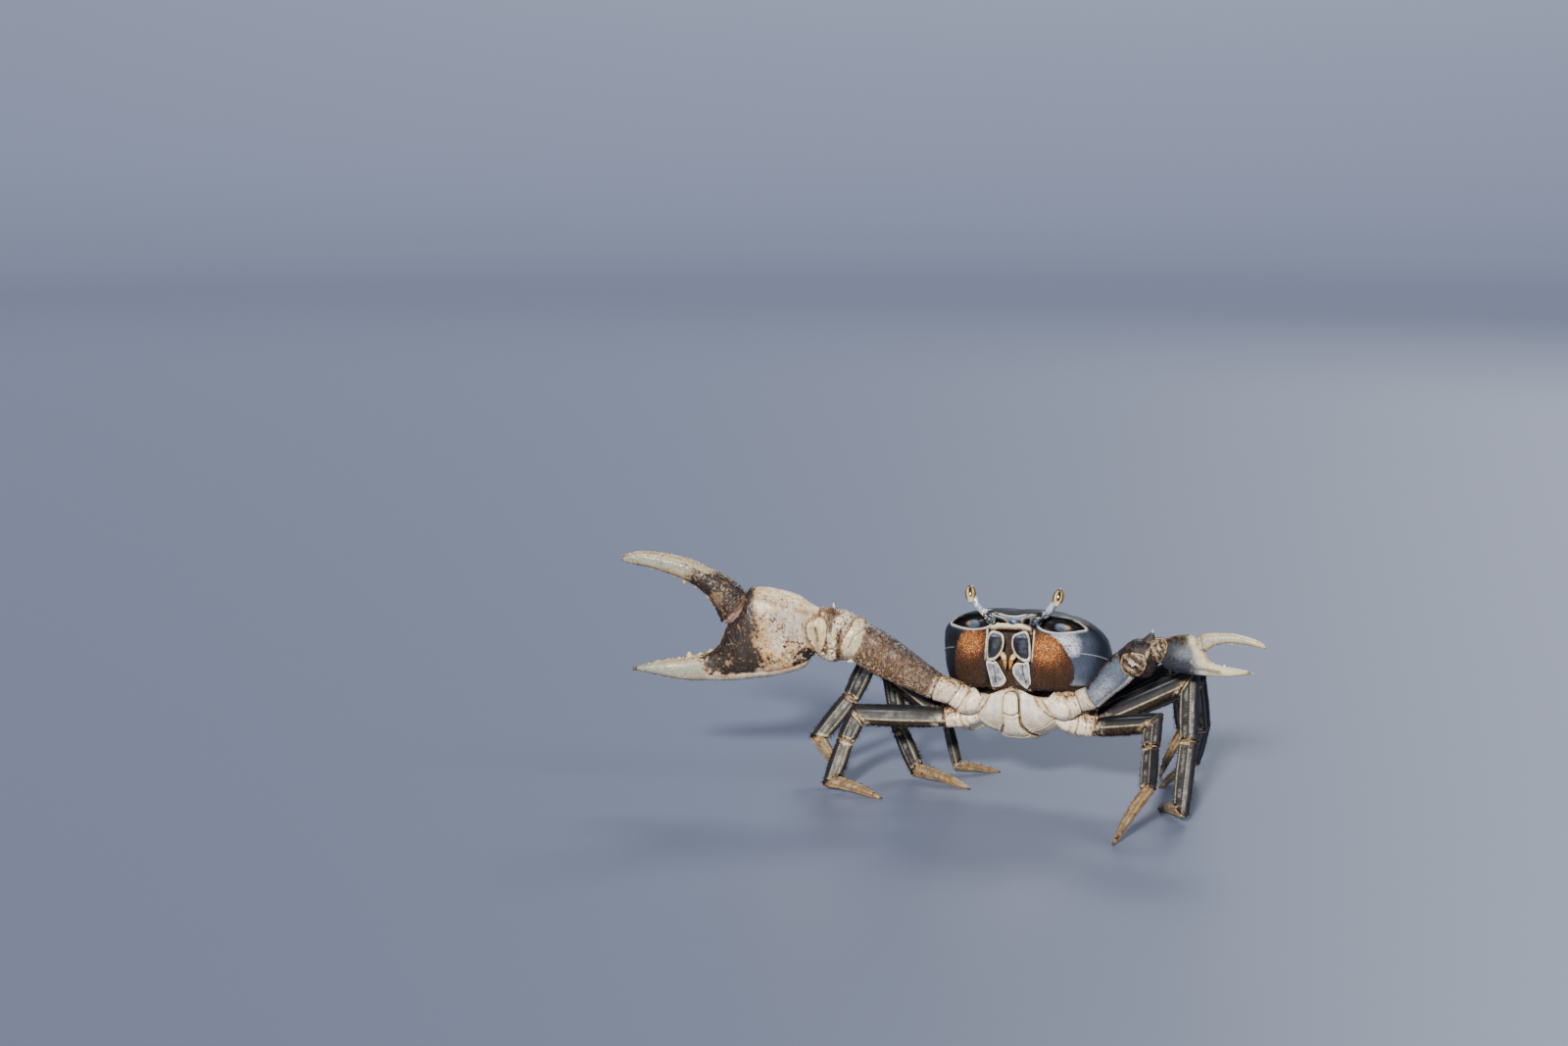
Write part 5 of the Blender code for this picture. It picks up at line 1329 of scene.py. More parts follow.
# %% Paint the small claw
def paint_small_palm(skin):
    small_cloud, fine = skin.cloud(1.6, 51), skin.cloud(0.7, 52)
    rays = 0.5 + 0.5 * np.sin(3.5 * skin.b + 1.2 * skin.a + 3 * small_cloud)
    skin.dye((34, 37, 44))
    skin.dye((74, 82, 94), ease(rays, 0.3, 0.9) * 0.5)
    skin.dye((126, 134, 146), patch(skin, 31, 3, 11, 8) * (0.8 + 0.2 * small_cloud))
    skin.dye((206, 210, 210), ease(skin.a + 3 * small_cloud, 34, 50))
    dark = ease(skin.b + 4 * small_cloud, 10, 19) * (1 - ease(skin.a, 30, 40))
    skin.dye((28, 25, 27), dark * 0.95)
    skin.dye((92, 82, 74), dark * ease(fine + 0.5 * small_cloud, 0.2, 0.6) * 0.8)
    skin.dye((176, 172, 166), patch(skin, 37, 21, 5, 7) * 0.8)
    skin.dye((140, 112, 84), ease(skin.b - skin.top, -2.0, -0.6) * ease(fine, -0.3, 0.4)
             * (1 - ease(skin.a, 28, 40)))
    curl = along_line(skin, [(36, 25), (39, 18), (45, 8), (53, -4), (62, -10)], 2.6)
    skin.dye((226, 222, 206), curl * 0.9)
    hinge = along_line(skin, [(40, 31), (41.5, 22), (46.5, 12.5), (53, 4.5)], 1.0)
    skin.dye((30, 24, 24), hinge)
    finger = ease(skin.a + 0.4 * skin.b, 38, 50)
    skin.dye((220, 208, 168), finger * (0.9 + 0.1 * small_cloud))
    skin.dye((176, 178, 164), finger * bump(skin.b, (skin.top + skin.low) / 2, 2.5) * 0.35)
    shadow = along_line(skin, [(20, -13), (34, -15), (48, -16), (66, -19)], 3.0)
    skin.dye((58, 62, 76), shadow * 0.75)
    skin.dye((40, 38, 44), (1 - ease(skin.a, 2, 6)) * ease(-skin.b, -8, 2) * 0.9)
    keel = ease(skin.low - skin.b, -1.6, -0.5) * (1 - finger)
    skin.dye((206, 208, 206), keel * (0.5 + 0.5 * ease(np.sin(skin.a * 2.6), -0.3, 0.4)))
    skin.dye((126, 78, 44), ease(skin.a + 2 * small_cloud, 92, 98))
    skin.dye((220, 200, 160), ease(skin.a, 98, 101))
    skin.speck += 0.2
    skin.stain += 0.14 + 0.35 * dark + 0.2 * ease(skin.a, 92, 97)
    skin.lift(0.06 * small_cloud + 0.1 * dark * fine + 0.12 * curl)
    skin.wet += 0.1


def paint_small_finger(skin):
    small_cloud, fine = skin.cloud(1.6, 61), skin.cloud(0.7, 62)
    skin.dye((204, 188, 140))
    skin.dye((154, 168, 176), bump(skin.s, 0.1, 0.45) * (1 - ease(skin.t, 0.55, 0.8)) * 0.8)
    skin.dye((226, 220, 200), ease(skin.s, 0.8, 0.95) * 0.6)
    skin.dye((190, 148, 92), ease(-skin.s, 0.6, 0.9) * ease(skin.t, 0.3, 0.7) * 0.6)
    skin.dye((96, 48, 30), ease(skin.t + 0.02 * small_cloud, 0.93, 0.97))
    skin.dye((110, 90, 72), (1 - ease(skin.t, 0.0, 0.1)) * ease(fine, -0.2, 0.5) * 0.7)
    skin.speck += 0.35
    skin.lift(0.06 * small_cloud)
    skin.wet += 0.1


# %% Arms: ischium, merus and carpus
CARPUS_GAPS = [(-6.7, 5.5, 2.2, 5.5), (-3.6, -10.5, 2.0, 2.5), (-11.5, -12, 1.8, 5), (-9.5, 11.5, 4.5, 3.0),
               (-12.0, -2.0, 1.6, 4.0)]


def paint_large_arm(skin, name):
    small_cloud, fine = skin.cloud(2.0, 71), skin.cloud(0.9, 72)
    if name == "merus":
        skin.dye((58, 45, 36))
        skin.dye((24, 26, 34), ease(skin.up_side, 0.4, 0.8) * 0.9)
        skin.dye((134, 84, 46), ease(fine + 0.4 * small_cloud, 0.1, 0.5)
                 * (1 - ease(skin.up_side, 0.5, 0.8)) * 0.8)
        skin.dye((190, 178, 158), ease(fine - 0.3 * small_cloud, 0.3, 0.6) * ease(-skin.up_side, -0.5, 0.6)
                 * 0.9)
        skin.dye((158, 148, 136), patch_round(skin, 10, -0.4, 9, 0.5) * ease(small_cloud, -0.3, 0.5) * 0.8)
        ends = 1 - ease(np.minimum(skin.mm, skin.left), 0.5, 3.5)
        skin.dye((206, 192, 166), ends * ease(small_cloud, -0.6, 0.2))
        edge = bump(skin.up_side, 0.86, 0.06)
        skin.dye((150, 140, 132), edge * ease(fine, -0.1, 0.4) * 0.8)
        skin.lift(0.3 * fine + 0.2 * small_cloud + 0.3 * edge)
        skin.speck += 0.3
        skin.stain += 0.42 + 0.1 * small_cloud
    elif name == "carpus":
        skin.dye((238, 228, 210))
        skin.dye((150, 124, 108), ease(fine + 0.5 * small_cloud, 0.2, 0.6) * 0.6)
        skin.stain += 0.42 + 0.18 * small_cloud
        skin.dye((226, 206, 166), ease(small_cloud, 0.2, 0.5) * 0.85)
        top_dark = ease(skin.b, 7, 11)
        skin.dye((96, 84, 78), top_dark * ease(small_cloud, -0.6, 0.2))
        black = sum(patch(skin, *gap) for gap in CARPUS_GAPS)
        black = np.clip(black * 1.9 - 0.35 + 0.25 * fine, 0, 1)
        skin.dye((20, 15, 15), black)
        gap = dark_gap(skin, (WRIST_PLATE, ELBOW_PLATE), 1.5) * ease(fine + small_cloud, -1.0, 0.0)
        skin.dye((46, 32, 24), gap * 0.9)
        skin.dye((224, 206, 176), along_line(skin, [(-8, 15), (-14, 12), (-22, 8)], 1.0) * 0.9)
        skin.lift(0.35 * fine + 0.3 * small_cloud - 0.5 * gap - 1.0 * black + 1.2 * patch(skin, -9, 14, 3.5)
                  + 0.8 * along_line(skin, [(-11, 9), (-11, 0), (-10, -7)], 1.6))
        skin.speck += 0.6
        skin.crack += 0.6
    else:
        skin.dye((206, 198, 180))
        skin.dye((150, 110, 70), ease(skin.up_side, 0.3, 0.9) * ease(fine, -0.4, 0.4) * 0.7)
        skin.stain += 0.3 + 0.25 * ease(skin.up_side, 0.1, 0.8)
        skin.lift(0.12 * fine)
        skin.speck += 0.5
    skin.wet -= 0.15


def paint_small_arm(skin, name):
    small_cloud, fine = skin.cloud(1.6, 81), skin.cloud(0.7, 82)
    if name == "merus":
        skin.dye((84, 97, 120))
        skin.dye((168, 178, 194), patch_round(skin, 9, -0.2, 10, 0.6) * 0.8)
        skin.stain += 0.24 + 0.4 * ease(skin.up_side, 0.6, 0.95)
        skin.dye((70, 68, 78), ease(skin.up_side, 0.66, 0.9) * 0.85)
        skin.dye((120, 82, 52), ease(skin.up_side, 0.7, 0.9) * ease(fine, 0.1, 0.5) * 0.8)
        skin.dye((232, 228, 216), ease(-skin.up_side, 0.72, 0.88))
        skin.speck += 0.45
    elif name == "carpus":
        skin.dye((34, 32, 35))
        skin.dye((96, 96, 100), ease(fine + small_cloud, 0.3, 1.0) * 0.5)
        skin.stain += 0.32
        skin.dye((84, 66, 52), ease(skin.cloud(3, 83), 0.1, 0.5) * 0.5)
        skin.dye((176, 160, 130), (1 - ease(np.minimum(skin.mm, skin.left), 0.3, 1.4)) * 0.8)
        skin.dye((20, 16, 16), dark_gap(skin, (SMALL_WRIST_PLATE, SMALL_ELBOW_PLATE), 2.4) * 0.85)
        ledge = along_line(skin, [(-6, 25), (-3, 16), (-8, 4), (-12, -8)], 1.4)
        skin.dye((206, 190, 156), ledge * 0.85)
        skin.lift(0.5 * ledge)
        skin.speck += 0.5
    else:
        skin.dye((196, 192, 180))
        skin.dye((150, 112, 70), ease(fine, 0.2, 0.7) * 0.6)
        skin.speck += 0.6
    skin.lift(0.08 * fine + 0.08 * small_cloud)
    skin.wet += 0.1


def patch_round(skin, mm, up_side, wide, high):
    """A soft area of an arm, by its distance along and its height round the arm."""
    area = np.exp(-((skin.mm - mm) / wide) ** 2 - ((skin.up_side - up_side) / high) ** 2)
    return area * ease(skin.near, -0.2, 0.3)


# %% The root of the finger
def knuckle_skin(grip, finger):
    """The finger's root, which turns inside the palm and closes the wedge between them."""
    ring = finger.points[0]
    hinge = ring.mean(axis=0)
    inward = unit(grip.at(30, 6) - hinge)
    deep = np.linspace(0, 1, 30)[:, None, None]
    skin = Skin(hinge + (ring - hinge) * (1 - 0.2 * deep) + inward * (0.1 + (9 * grip.size - 0.1) * deep))
    skin.a, skin.b, skin.c = grip.flat(skin.points)
    skin.deep = deep[..., 0] * np.ones(len(ring))
    return skin


def paint_knuckle(skin, large):
    fine = skin.cloud(1.0, 91)
    if large:
        skin.dye((46, 32, 26))
        skin.dye((120, 90, 66), ease(fine, 0.2, 0.7) * 0.6)
        membrane = along_line(skin, [(51, 4.5), (46, 8.5), (40.5, 12.5)], 2.6)
        skin.dye((150, 122, 118), membrane * 0.95)
        skin.dye((58, 36, 32), bump(skin.deep, 0.03, 0.03))
    else:
        skin.dye((196, 188, 168))
        skin.dye((40, 34, 34), bump(skin.deep, 0.05, 0.06) * 0.9)
        skin.dye((140, 112, 80), ease(fine, 0.0, 0.6) * 0.6)
    skin.lift(0.15 * fine)


# %% Build the claws
def claw(side, spec):
    grip = Grip(spec)
    large = side == "r"
    reach = 0.7 + 0.3 * grip.size
    tall = CLAW_BASE * reach
    wide = tall * reach
    joints = [hip_of(side, 1)] + [on_floor(spec[key]) for key in ("ischium", "merus", "elbow", "wrist")]
    runs, planes = joint_planes(joints + [joints[-1] + grip.axis])
    widths = {
        "ischium": [(0.0, tall * 0.95, tall * 0.8), (1.0, tall, tall * 0.85)],
        "merus": [(0.0, tall, tall * 0.85), (0.4, wide * 1.3, tall * 1.1), (0.75, wide * 1.55, tall * 1.2),
                  (1.0, wide * 1.5, tall * 1.1)],
        "carpus": [(0.0, wide * 1.5, tall * 1.1), (0.5, wide * 2.0, tall * 1.4),
                   (1.0, 13.5 * grip.size * grip.tall, 9.0 * grip.size)],
    }
    folds, arm = [], {}
    for k, (name, sizes) in enumerate(widths.items()):
        skin = limb(joints[k + 1], joints[k + 2], grip.across, planes[k:k + 2], sizes, rows=110, columns=72)
        skin.up_side = skin.sin * np.sign(skin.top[:, 2].mean())
        skin.a, skin.b, skin.c = grip.flat(skin.points)
        (paint_large_arm if large else paint_small_arm)(skin, name)
        arm[name] = skin
        shapes = [skin]
        if name == "carpus":
            middle = joints[3] + (joints[4] - joints[3]) * spec["spike"]
            point = middle + grip.up * (wide * 2.0 + SPIKE - 0.3) + grip.axis * 2
            rise = np.linspace(0, 1, 14)
            spine = middle + grip.up * tall + (point - middle - grip.up * tall) * rise[:, None]
            broad = np.column_stack([6.4 * reach * (1 - rise) ** 1.3, 4.2 * reach
                                     * (1 - rise) ** 1.1]) + 0.12
            thorn = tube_skin(spine, broad, grip.across, columns=32)
            thorn.dye((106, 88, 78) if large else (50, 45, 44))
            thorn.stain += 0.3
            thorn.dye((236, 230, 220), ease(rise[:, None], 0.75, 0.92))
            shapes.append(thorn)
        finish = {"ischium": IVORY, "merus": ARM if large else LIMB, "carpus": CLAW if large else LIMB}[name]
        new_piece(f"claw_{side}_{name}_skin", shapes, finish, [f"claw_{side}_{name}"])
        end = sizes[-1][1:]
        folds.append(joint_fold(joints[k + 2], runs[k + 1], runs[k + 2] if k < 2 else grip.axis,
                                grip.across, end, reach=3.0, seed=90 + k))
    new_piece(f"claw_{side}_folds", folds, SKIN)

    grip.origin = grip.origin + planes[3] * GAP / 2
    palm = palm_skin(grip, planes[3], *PALM_GRID[side])
    finger = finger_skin(grip, *FINGER_GRID[side])
    root = knuckle_skin(grip, finger)
    (paint_large_palm if large else paint_small_palm)(palm)
    (paint_large_finger if large else paint_small_finger)(finger)
    paint_knuckle(root, large)
    tooth_colour = (206, 186, 148) if large else (232, 226, 206)
    teeth = [tooth_shape(grip.at, a, b, h, grip.size, 0.0, tooth_colour, 7) for a, b, h in PALM_TEETH]
    new_piece(f"claw_{side}_palm_skin", [palm, root] + teeth, CLAW if large else LIMB,
              [f"claw_{side}_palm"])
    teeth = [tooth_shape(grip.swung, a, b, -h, grip.size, 0.8, tooth_colour, 9) for a, b, h in FINGER_TEETH]
    new_piece(f"claw_{side}_finger_skin", [finger] + teeth, CLAW, [f"claw_{side}_finger"])
    return grip, arm, palm, finger, root


built = {side: claw(side, spec) for side, spec in CLAWS.items()}

# %% [markdown]
# ## Small things on the claws
#
# Close up, a claw is not smooth. Its edges carry rows of pearls, the arm is rough with granules, and
# loose plates of shell lie over the wrist and the elbow, each in a dark ring of skin. Bump alone would
# vanish in outline, so the pearls are real, and the plates are laid on the surface that is there.

# %% Plates on the wrists and the elbows
LENS = [(0, 0.0), (0.12, 0.75), (0.3, 1.15), (0.65, 1.45), (1.0, 1.55)]
RIMMED = [(0, 0.0), (0.05, 0.35), (0.1, 0.42), (0.18, 0.25), (0.45, 0.45), (0.7, 0.3), (1.0, 0.4)]
NUBS = [(-18.4, -16.6, 3.0, 1.3), (-3.0, -11.6, 1.3, 1.2), (-7.6, -9.4, 2.2, 1.2), (-13.0, 7.5, 2.6, 2.0),
        (-9.2, -5.2, 1.4, 2.2), (-22.5, -15.2, 2.2, 1.2)]
grip, arm, palm, finger, root = built["r"]
lay = front_of(grip, [arm["carpus"], palm])
wrist = plate_skin(WRIST_PLATE, lay, LENS, rings=40, per=12)
blot, grit = wrist.cloud(2.0, 161), wrist.cloud(0.7, 165)
wrist.dye((196, 184, 146))
wrist.dye((160, 164, 138), ease(blot, -0.2, 0.5) * 0.7)
wrist.dye((150, 104, 58), ease(grit + 0.6 * blot, 0.3, 0.7) * 0.75)
slit = along_line(wrist, [(0.6, 3.3), (0.1, 0), (-0.3, -4.0)], 0.75)
wrist.dye((32, 20, 14), slit)
wrist.dye((58, 36, 24), 1 - ease(wrist.inward, 0.02, 0.12))
wrist.dye((234, 222, 190), bump(wrist.inward, 0.2, 0.08) * 0.7)
wrist.stain += 0.32 + 0.25 * (1 - ease(wrist.inward, 0.05, 0.35))
wrist.lift(-0.6 * slit * (1 - wrist.wall) + 0.1 * blot)
elbow = plate_skin(ELBOW_PLATE, lay, LENS, rings=26, per=8)
blot, grit = elbow.cloud(2.2, 162), elbow.cloud(0.7, 166)
elbow.dye((178, 178, 146))
elbow.dye((216, 204, 168), ease(blot, -0.3, 0.4))
elbow.dye((140, 98, 58), ease(grit + 0.6 * blot, 0.35, 0.7) * 0.6)
seam = along_line(elbow, [(-25.5, 2.0), (-20.0, -2.0), (-17.0, -8.0)], 0.4)
elbow.dye((248, 244, 232), bump(seam, 0.35, 0.25) * 0.8)
elbow.dye((84, 62, 44), seam * 0.9)
elbow.dye((40, 26, 20), 1 - ease(elbow.inward, 0.02, 0.12))
elbow.stain += 0.3 + 0.25 * (1 - ease(elbow.inward, 0.05, 0.3))
elbow.lift(-0.35 * seam * (1 - elbow.wall) + 0.12 * blot)
nubs = [plate_skin([(a - w, b), (a, b + h), (a + w, b), (a, b - h)], lay, LENS, rings=12, per=8)
        for a, b, w, h in NUBS]
for nub in nubs:
    nub.dye((232, 220, 192))
    nub.stain += 0.3
    nub.dye((60, 42, 32), 1 - ease(nub.inward, 0.03, 0.2))
new_piece("claw_r_wrist_plates", [wrist, elbow] + nubs, IVORY)

# %% Creased rings on the small claw
# Each ring has a middle, a slant and pitch for its creases, a pit beside the middle and some white.
RINGS = [dict(outline=SMALL_WRIST_PLATE, seed=163, middle=(1.5, 3.0), slant=0.42, pitch=0.95,
              pit=(2.0, -2.0), pit_size=(1.2, 5.0), white=0.7),
         dict(outline=SMALL_ELBOW_PLATE, seed=164, middle=(-24.0, -16.5), slant=0.9, pitch=0.62,
              pit=(2.5, -1.5), pit_size=(2.4, 3.0), white=0.95)]
grip, arm, palm, finger, root = built["l"]
lay = front_of(grip, [arm["merus"], arm["carpus"], palm])
rings = []
for spec in RINGS:
    ring = plate_skin(spec["outline"], lay, RIMMED, depth=0.9, rings=60, per=14)
    blot, fine = ring.cloud(1.6, spec["seed"]), ring.cloud(0.8, spec["seed"] + 4)
    a, b = spec["middle"]
    across = (ring.a - a) * math.cos(spec["slant"]) + (ring.b - b) * math.sin(spec["slant"])
    crease = 0.5 + 0.5 * np.sin(spec["pitch"] * across + 1.5 * blot + 0.5 * fine)
    ring.stain += 0.3
    ring.dye((84, 70, 56))
    ring.dye((150, 134, 106), ease(crease + 0.3 * fine, 0.55, 0.95) * 0.75)
    ring.dye((26, 20, 18), ease(0.34 - crease - 0.3 * fine, 0, 0.25))
    rim_here = ease(blot + 0.6 * fine + 0.5 * np.sin(0.3 * ring.a), -0.5, 0.3)
    ring.dye((176, 158, 124), bump(ring.inward, 0.06 + 0.03 * blot, 0.035) * rim_here)
    ring.dye((30, 22, 19), 1 - ease(ring.inward, 0.01, 0.05))
    star = ease(1 - ring.inward, 0.6, 0.2) * ease(crease + 0.4 * blot, 0.45, 0.7)
    pit = patch(ring, a + spec["pit"][0], b + spec["pit"][1], *spec["pit_size"])
    ring.dye((214, 210, 202), star * spec["white"])
    ring.dye((12, 10, 11), ease(pit, 0.4, 0.7))
    ring.lift((0.3 * crease + 0.2 * blot + 0.2 * star - 0.8 * ease(pit, 0.3, 0.8)) * (1 - ring.wall))
    rings.append(ring)
new_piece("claw_l_rings", rings, SKIN)


# %% Pearls and granules
def pearls(skin, mask, count, radii, colours, seed, strip=0, strips=1):
    """Granules of several colours, mixed at random, where a mask is set."""
    roots, out, _, place, chosen = pick(skin, mask, count, seed, strip, strips)
    dice = np.random.default_rng(seed + 1)
    shade = np.array([tint(*c) for c in colours])[dice.integers(0, len(colours), count)]
    shade = 0.35 * shade + 0.65 * np.minimum(shade, 2.0 * skin.colour.reshape(-1, 3)[chosen])
    return bead_shape(roots, out, dice.uniform(*radii, count), shade, place, seed=seed)


PEARL_COLOURS = ((206, 188, 148), (170, 138, 98), (214, 202, 174), (100, 74, 52))
GRANULE_COLOURS = ((194, 178, 148), (134, 92, 56), (98, 66, 42), (36, 28, 26), (160, 136, 106))
grip, arm, palm, finger, root = built["r"]
edges = ease(np.abs(finger.s), 0.955, 0.99) * ease(finger.t, 0.08, 0.12) * (1 - ease(finger.t, 0.9, 0.95))
lower_edge = ease(-palm.s, 0.955, 0.99) * ease(palm.a, 22, 30) * (1 - ease(palm.a, 94, 98))
bite = ease(palm.s, 0.96, 0.99) * ease(palm.a, 40, 46) * (1 - ease(palm.a, 92, 96))
new_piece("claw_r_pearls", [pearls(finger, edges, 620, (0.2, 0.5), PEARL_COLOURS, 171, 0, 3),
                            pearls(palm, lower_edge, 260, (0.28, 0.55), PEARL_COLOURS, 172, 1, 3),
                            pearls(palm, bite, 150, (0.3, 0.6), PEARL_COLOURS, 173, 2, 3)], HORN)
merus, carpus = arm["merus"], arm["carpus"]
rough_part = (1 - ease(merus.up_side, 0.6, 0.9)) * ease(merus.mm, 1, 3) * ease(merus.left, 1, 3)
new_piece("claw_r_granules", [
    pearls(merus, rough_part, 2600, (0.16, 0.42), GRANULE_COLOURS, 174, 0, 2),
    pearls(carpus, ease(carpus.cloud(3, 175), 0.0, 0.4) + 0.15, 240, (0.25, 0.6),
           GRANULE_COLOURS[:2] + ((232, 222, 198),), 176, 1, 2)], HORN)
hinge_line = along_line(root, [(50.5, 7.6), (47.5, 9.6), (44, 12.2)], 0.8)
hinge_line = hinge_line * (root.c * grip.front > 0) * (root.deep < 0.3)
row = pearls(root, hinge_line, 26, (0.22, 0.42), ((214, 204, 188), (240, 234, 222)), 177)
new_piece("claw_r_hinge_pearls", [row], HORN)
grip, arm, palm, finger, root = built["l"]
white = ((236, 230, 214), (222, 208, 176))
merus = arm["merus"]
saw = ease(-merus.up_side, 0.95, 0.995) * ease(merus.mm, 2, 4)
small_bite = ease(palm.s, 0.97, 0.995) * ease(palm.a, 56, 60) * (1 - ease(palm.a, 94, 98))
crest = ease(palm.s, 0.96, 0.99) * (1 - ease(palm.a, 30, 36)) * ease(palm.a, 2, 5)
new_piece("claw_l_pearls", [pearls(merus, saw, 46, (0.3, 0.55), white, 181, 0, 4),
                            pearls(palm, small_bite, 46, (0.28, 0.5), white, 182, 1, 4),
                            pearls(palm, crest, 40, (0.25, 0.5), GRANULE_COLOURS, 183, 2, 4),
                            pearls(finger, ease(-finger.s, 0.96, 0.99) * ease(finger.t, 0.25, 0.3), 46,
                                   (0.2, 0.36), white, 184, 3, 4)], HORN)

# %% [markdown]
# ## The underside: breastplate, hip rings and folded tail
#
# Under the shell lies the breastplate, the sternum. It is ivory, cut by curved seams with golden
# skin in them, and each limb leaves it through a hip of two overlapping rings. The tail, the abdomen,
# is folded flat against it in a trough: narrow at its tip, in a male, and made of rounded plates.
# Loose plates would leave gaps, so the seams are cut into one surface and dyed as they are cut.

# %% Tables of the underside
STERNUM_BOTTOM = -49.0
STERNUM_X, STERNUM_FRONT, STERNUM_REAR, STERNUM_MIDDLE = 31.0, 29.5, 32.0, 7.0
CLAW_COXA, LEG_COXA = 7.4, 6.3
COXA_PROFILE = [(0, 0.8, 0.75), (1, 1.0, 0.9), (2, 1.05, 0.8), (3, 0.95, 0.62)]
FLAP = [(0, -22.3, 3.9), (1, -19.6, 4.2), (2, -12.5, 4.6), (3, -8.0, 6.5), (4, 0.0, 9.0), (5, 9.0, 11.0),
        (6, 18.0, 12.5), (7, 27.0, 13.0), (8, 33.5, 12.0), (9, 37.5, 10.0)]
FLAP_THICK = 2.2
FLAP_SEAMS = (1.15, 3.6, 4.7, 5.7, 6.7, 7.6)
TIP_RADIUS = 3.9


def underside(x, y):
    """A point on the underside, which bulges below the seam, in the body's frame."""
    reach = np.where(y < STERNUM_MIDDLE, STERNUM_FRONT, STERNUM_REAR)
    r = np.minimum(1, (np.abs(x) / STERNUM_X) ** 3.4 + (np.abs(y - STERNUM_MIDDLE) / reach) ** 2.2)
    deepest = seam_z(STERNUM_MIDDLE) - STERNUM_BOTTOM
    return np.stack([x, y, seam_z(y) - deepest * (1 - r) ** 0.5], -1)


def lifted(x, y, lift):
    """A point of the underside lifted off it along its normal."""
    step = 0.5
    along_x = underside(x + step, y) - underside(x - step, y)
    along_y = underside(x, y - step) - underside(x, y + step)
    return underside(x, y) + unit(np.cross(along_x, along_y)) * np.asarray(lift)[..., None]


# %% Outline of the folded tail
tail_u = 9 * np.linspace(0, 1, 260) ** 1.6
tail_y, tail_half = np.moveaxis(curve(FLAP, tail_u), -1, 0)
tail_steps = np.linalg.norm(np.diff(lifted(0 * tail_y, tail_y, 1.0), axis=0), axis=1)
tail_run = np.concatenate([[0], np.cumsum(tail_steps)])
tail_half = tail_half * np.sqrt(np.clip(1 - (1 - np.clip(tail_run / TIP_RADIUS, 0, 1)) ** 2, 0.01, 1))
outline = np.concatenate([underside(-tail_half[::-3], tail_y[::-3]), underside(tail_half[::3], tail_y[::3])])
print("tail:", round(float(tail_run[-1])), "mm along, tip at", np.round(underside(0, tail_y[0]), 1))

# %% Breastplate
rows, columns = 150, 420
share = np.sin(np.radians(np.linspace(0.6, 90, rows)))[:, None]
turn = 2 * math.pi * np.arange(columns)[None] / columns
reach = np.where(np.sin(turn) > 0, STERNUM_REAR, STERNUM_FRONT)
px = STERNUM_X * share * np.sign(np.cos(turn)) * np.abs(np.cos(turn)) ** 0.72
py = STERNUM_MIDDLE + share * reach * np.sign(np.sin(turn)) * np.abs(np.sin(turn)) ** 0.9
plate = underside(px, py)
pz = plate[..., 2]
breast = Skin(on_body(plate))
breast.dye((234, 228, 216))
face_on = np.stack([np.abs(px), pz], -1)
from_below = np.stack([np.abs(px), py], -1)
frontal = ease(-py, 2, 6)
SEAMS_AHEAD = [[(12.3, -30), (13.2, -35.6), (16.0, -40.5), (20.7, -43.2), (27.0, -44.0)],
               [(15.9, -30), (17.4, -36.9), (21.0, -41.6), (26.0, -42.6)]]
SEAMS_BELOW = [[(6.0, -6), (12, -7.5), (20, -9.5), (27, -8)], [(9.5, 3), (17, 2.5), (27, 2.5)],
               [(11.5, 13), (19, 13.5), (28, 15)], [(13, 22), (18, 24), (26, 25)]]
ahead_gap = np.minimum.reduce([line_distance(face_on, s) for s in SEAMS_AHEAD])
below_gap = np.minimum.reduce([line_distance(from_below, s) for s in SEAMS_BELOW])
seam = np.maximum(np.exp(-(ahead_gap / 0.6) ** 2) * frontal, np.exp(-(below_gap / 0.5) ** 2))
lip = np.maximum(bump(ahead_gap, 1.0, 0.5) * frontal, bump(below_gap, 1.0, 0.5))
tail_gap = line_distance(plate, outline)
in_trough = np.exp(-(tail_gap / 1.2) ** 4)
rim_line = bump(tail_gap, 1.9, 0.5)
breast.lift(-0.55 * seam + 0.3 * lip + 0.7 * rim_line - 0.5 * in_trough + 0.1 * breast.cloud(3, 101))
blot, fine = breast.cloud(3.0, 102), breast.cloud(1.2, 103)
breast.dye((252, 248, 238), 0.5 + 0.5 * blot)
breast.dye((186, 184, 196), 0.6 * bump(np.abs(px), 9.5, 2.4) * frontal)
breast.dye((240, 222, 180), np.clip(lip + rim_line, 0, 1) * 0.9)
golden = bump(np.abs(px), 14.8 + 0.06 * (pz + 36) ** 2, 1.3) * frontal * ease(pz, -41, -37)
breast.dye((190, 150, 96), golden * 0.75)
breast.dye((88, 52, 26), seam * ease(fine, -0.9, 0.0) * 0.95)
stain = ease(pz - seam_z(py) + 1.8 * blot, -6.5, -1.5) * ease(fine + 0.6 * blot, -0.8, 0.3)
breast.dye((112, 62, 30), stain * 0.95)
breast.stain += 0.2 + 0.4 * ease(pz - seam_z(py), -5.5, -0.5) + 0.14 * seam + 0.1 * (1 - frontal)
# Painted shade: the trough round the folded tail is painted near black, where shade falls between tail and
# breastplate.
breast.dye((30, 22, 18), in_trough)
breast.dye((188, 172, 132), 0.6 * ease(-pz, 42, 46) * ease(blot, -0.7, 0.3))
breast.speck += 0.12 + 0.5 * stain
new_piece("breastplate", [breast], IVORY, ["sternum"])


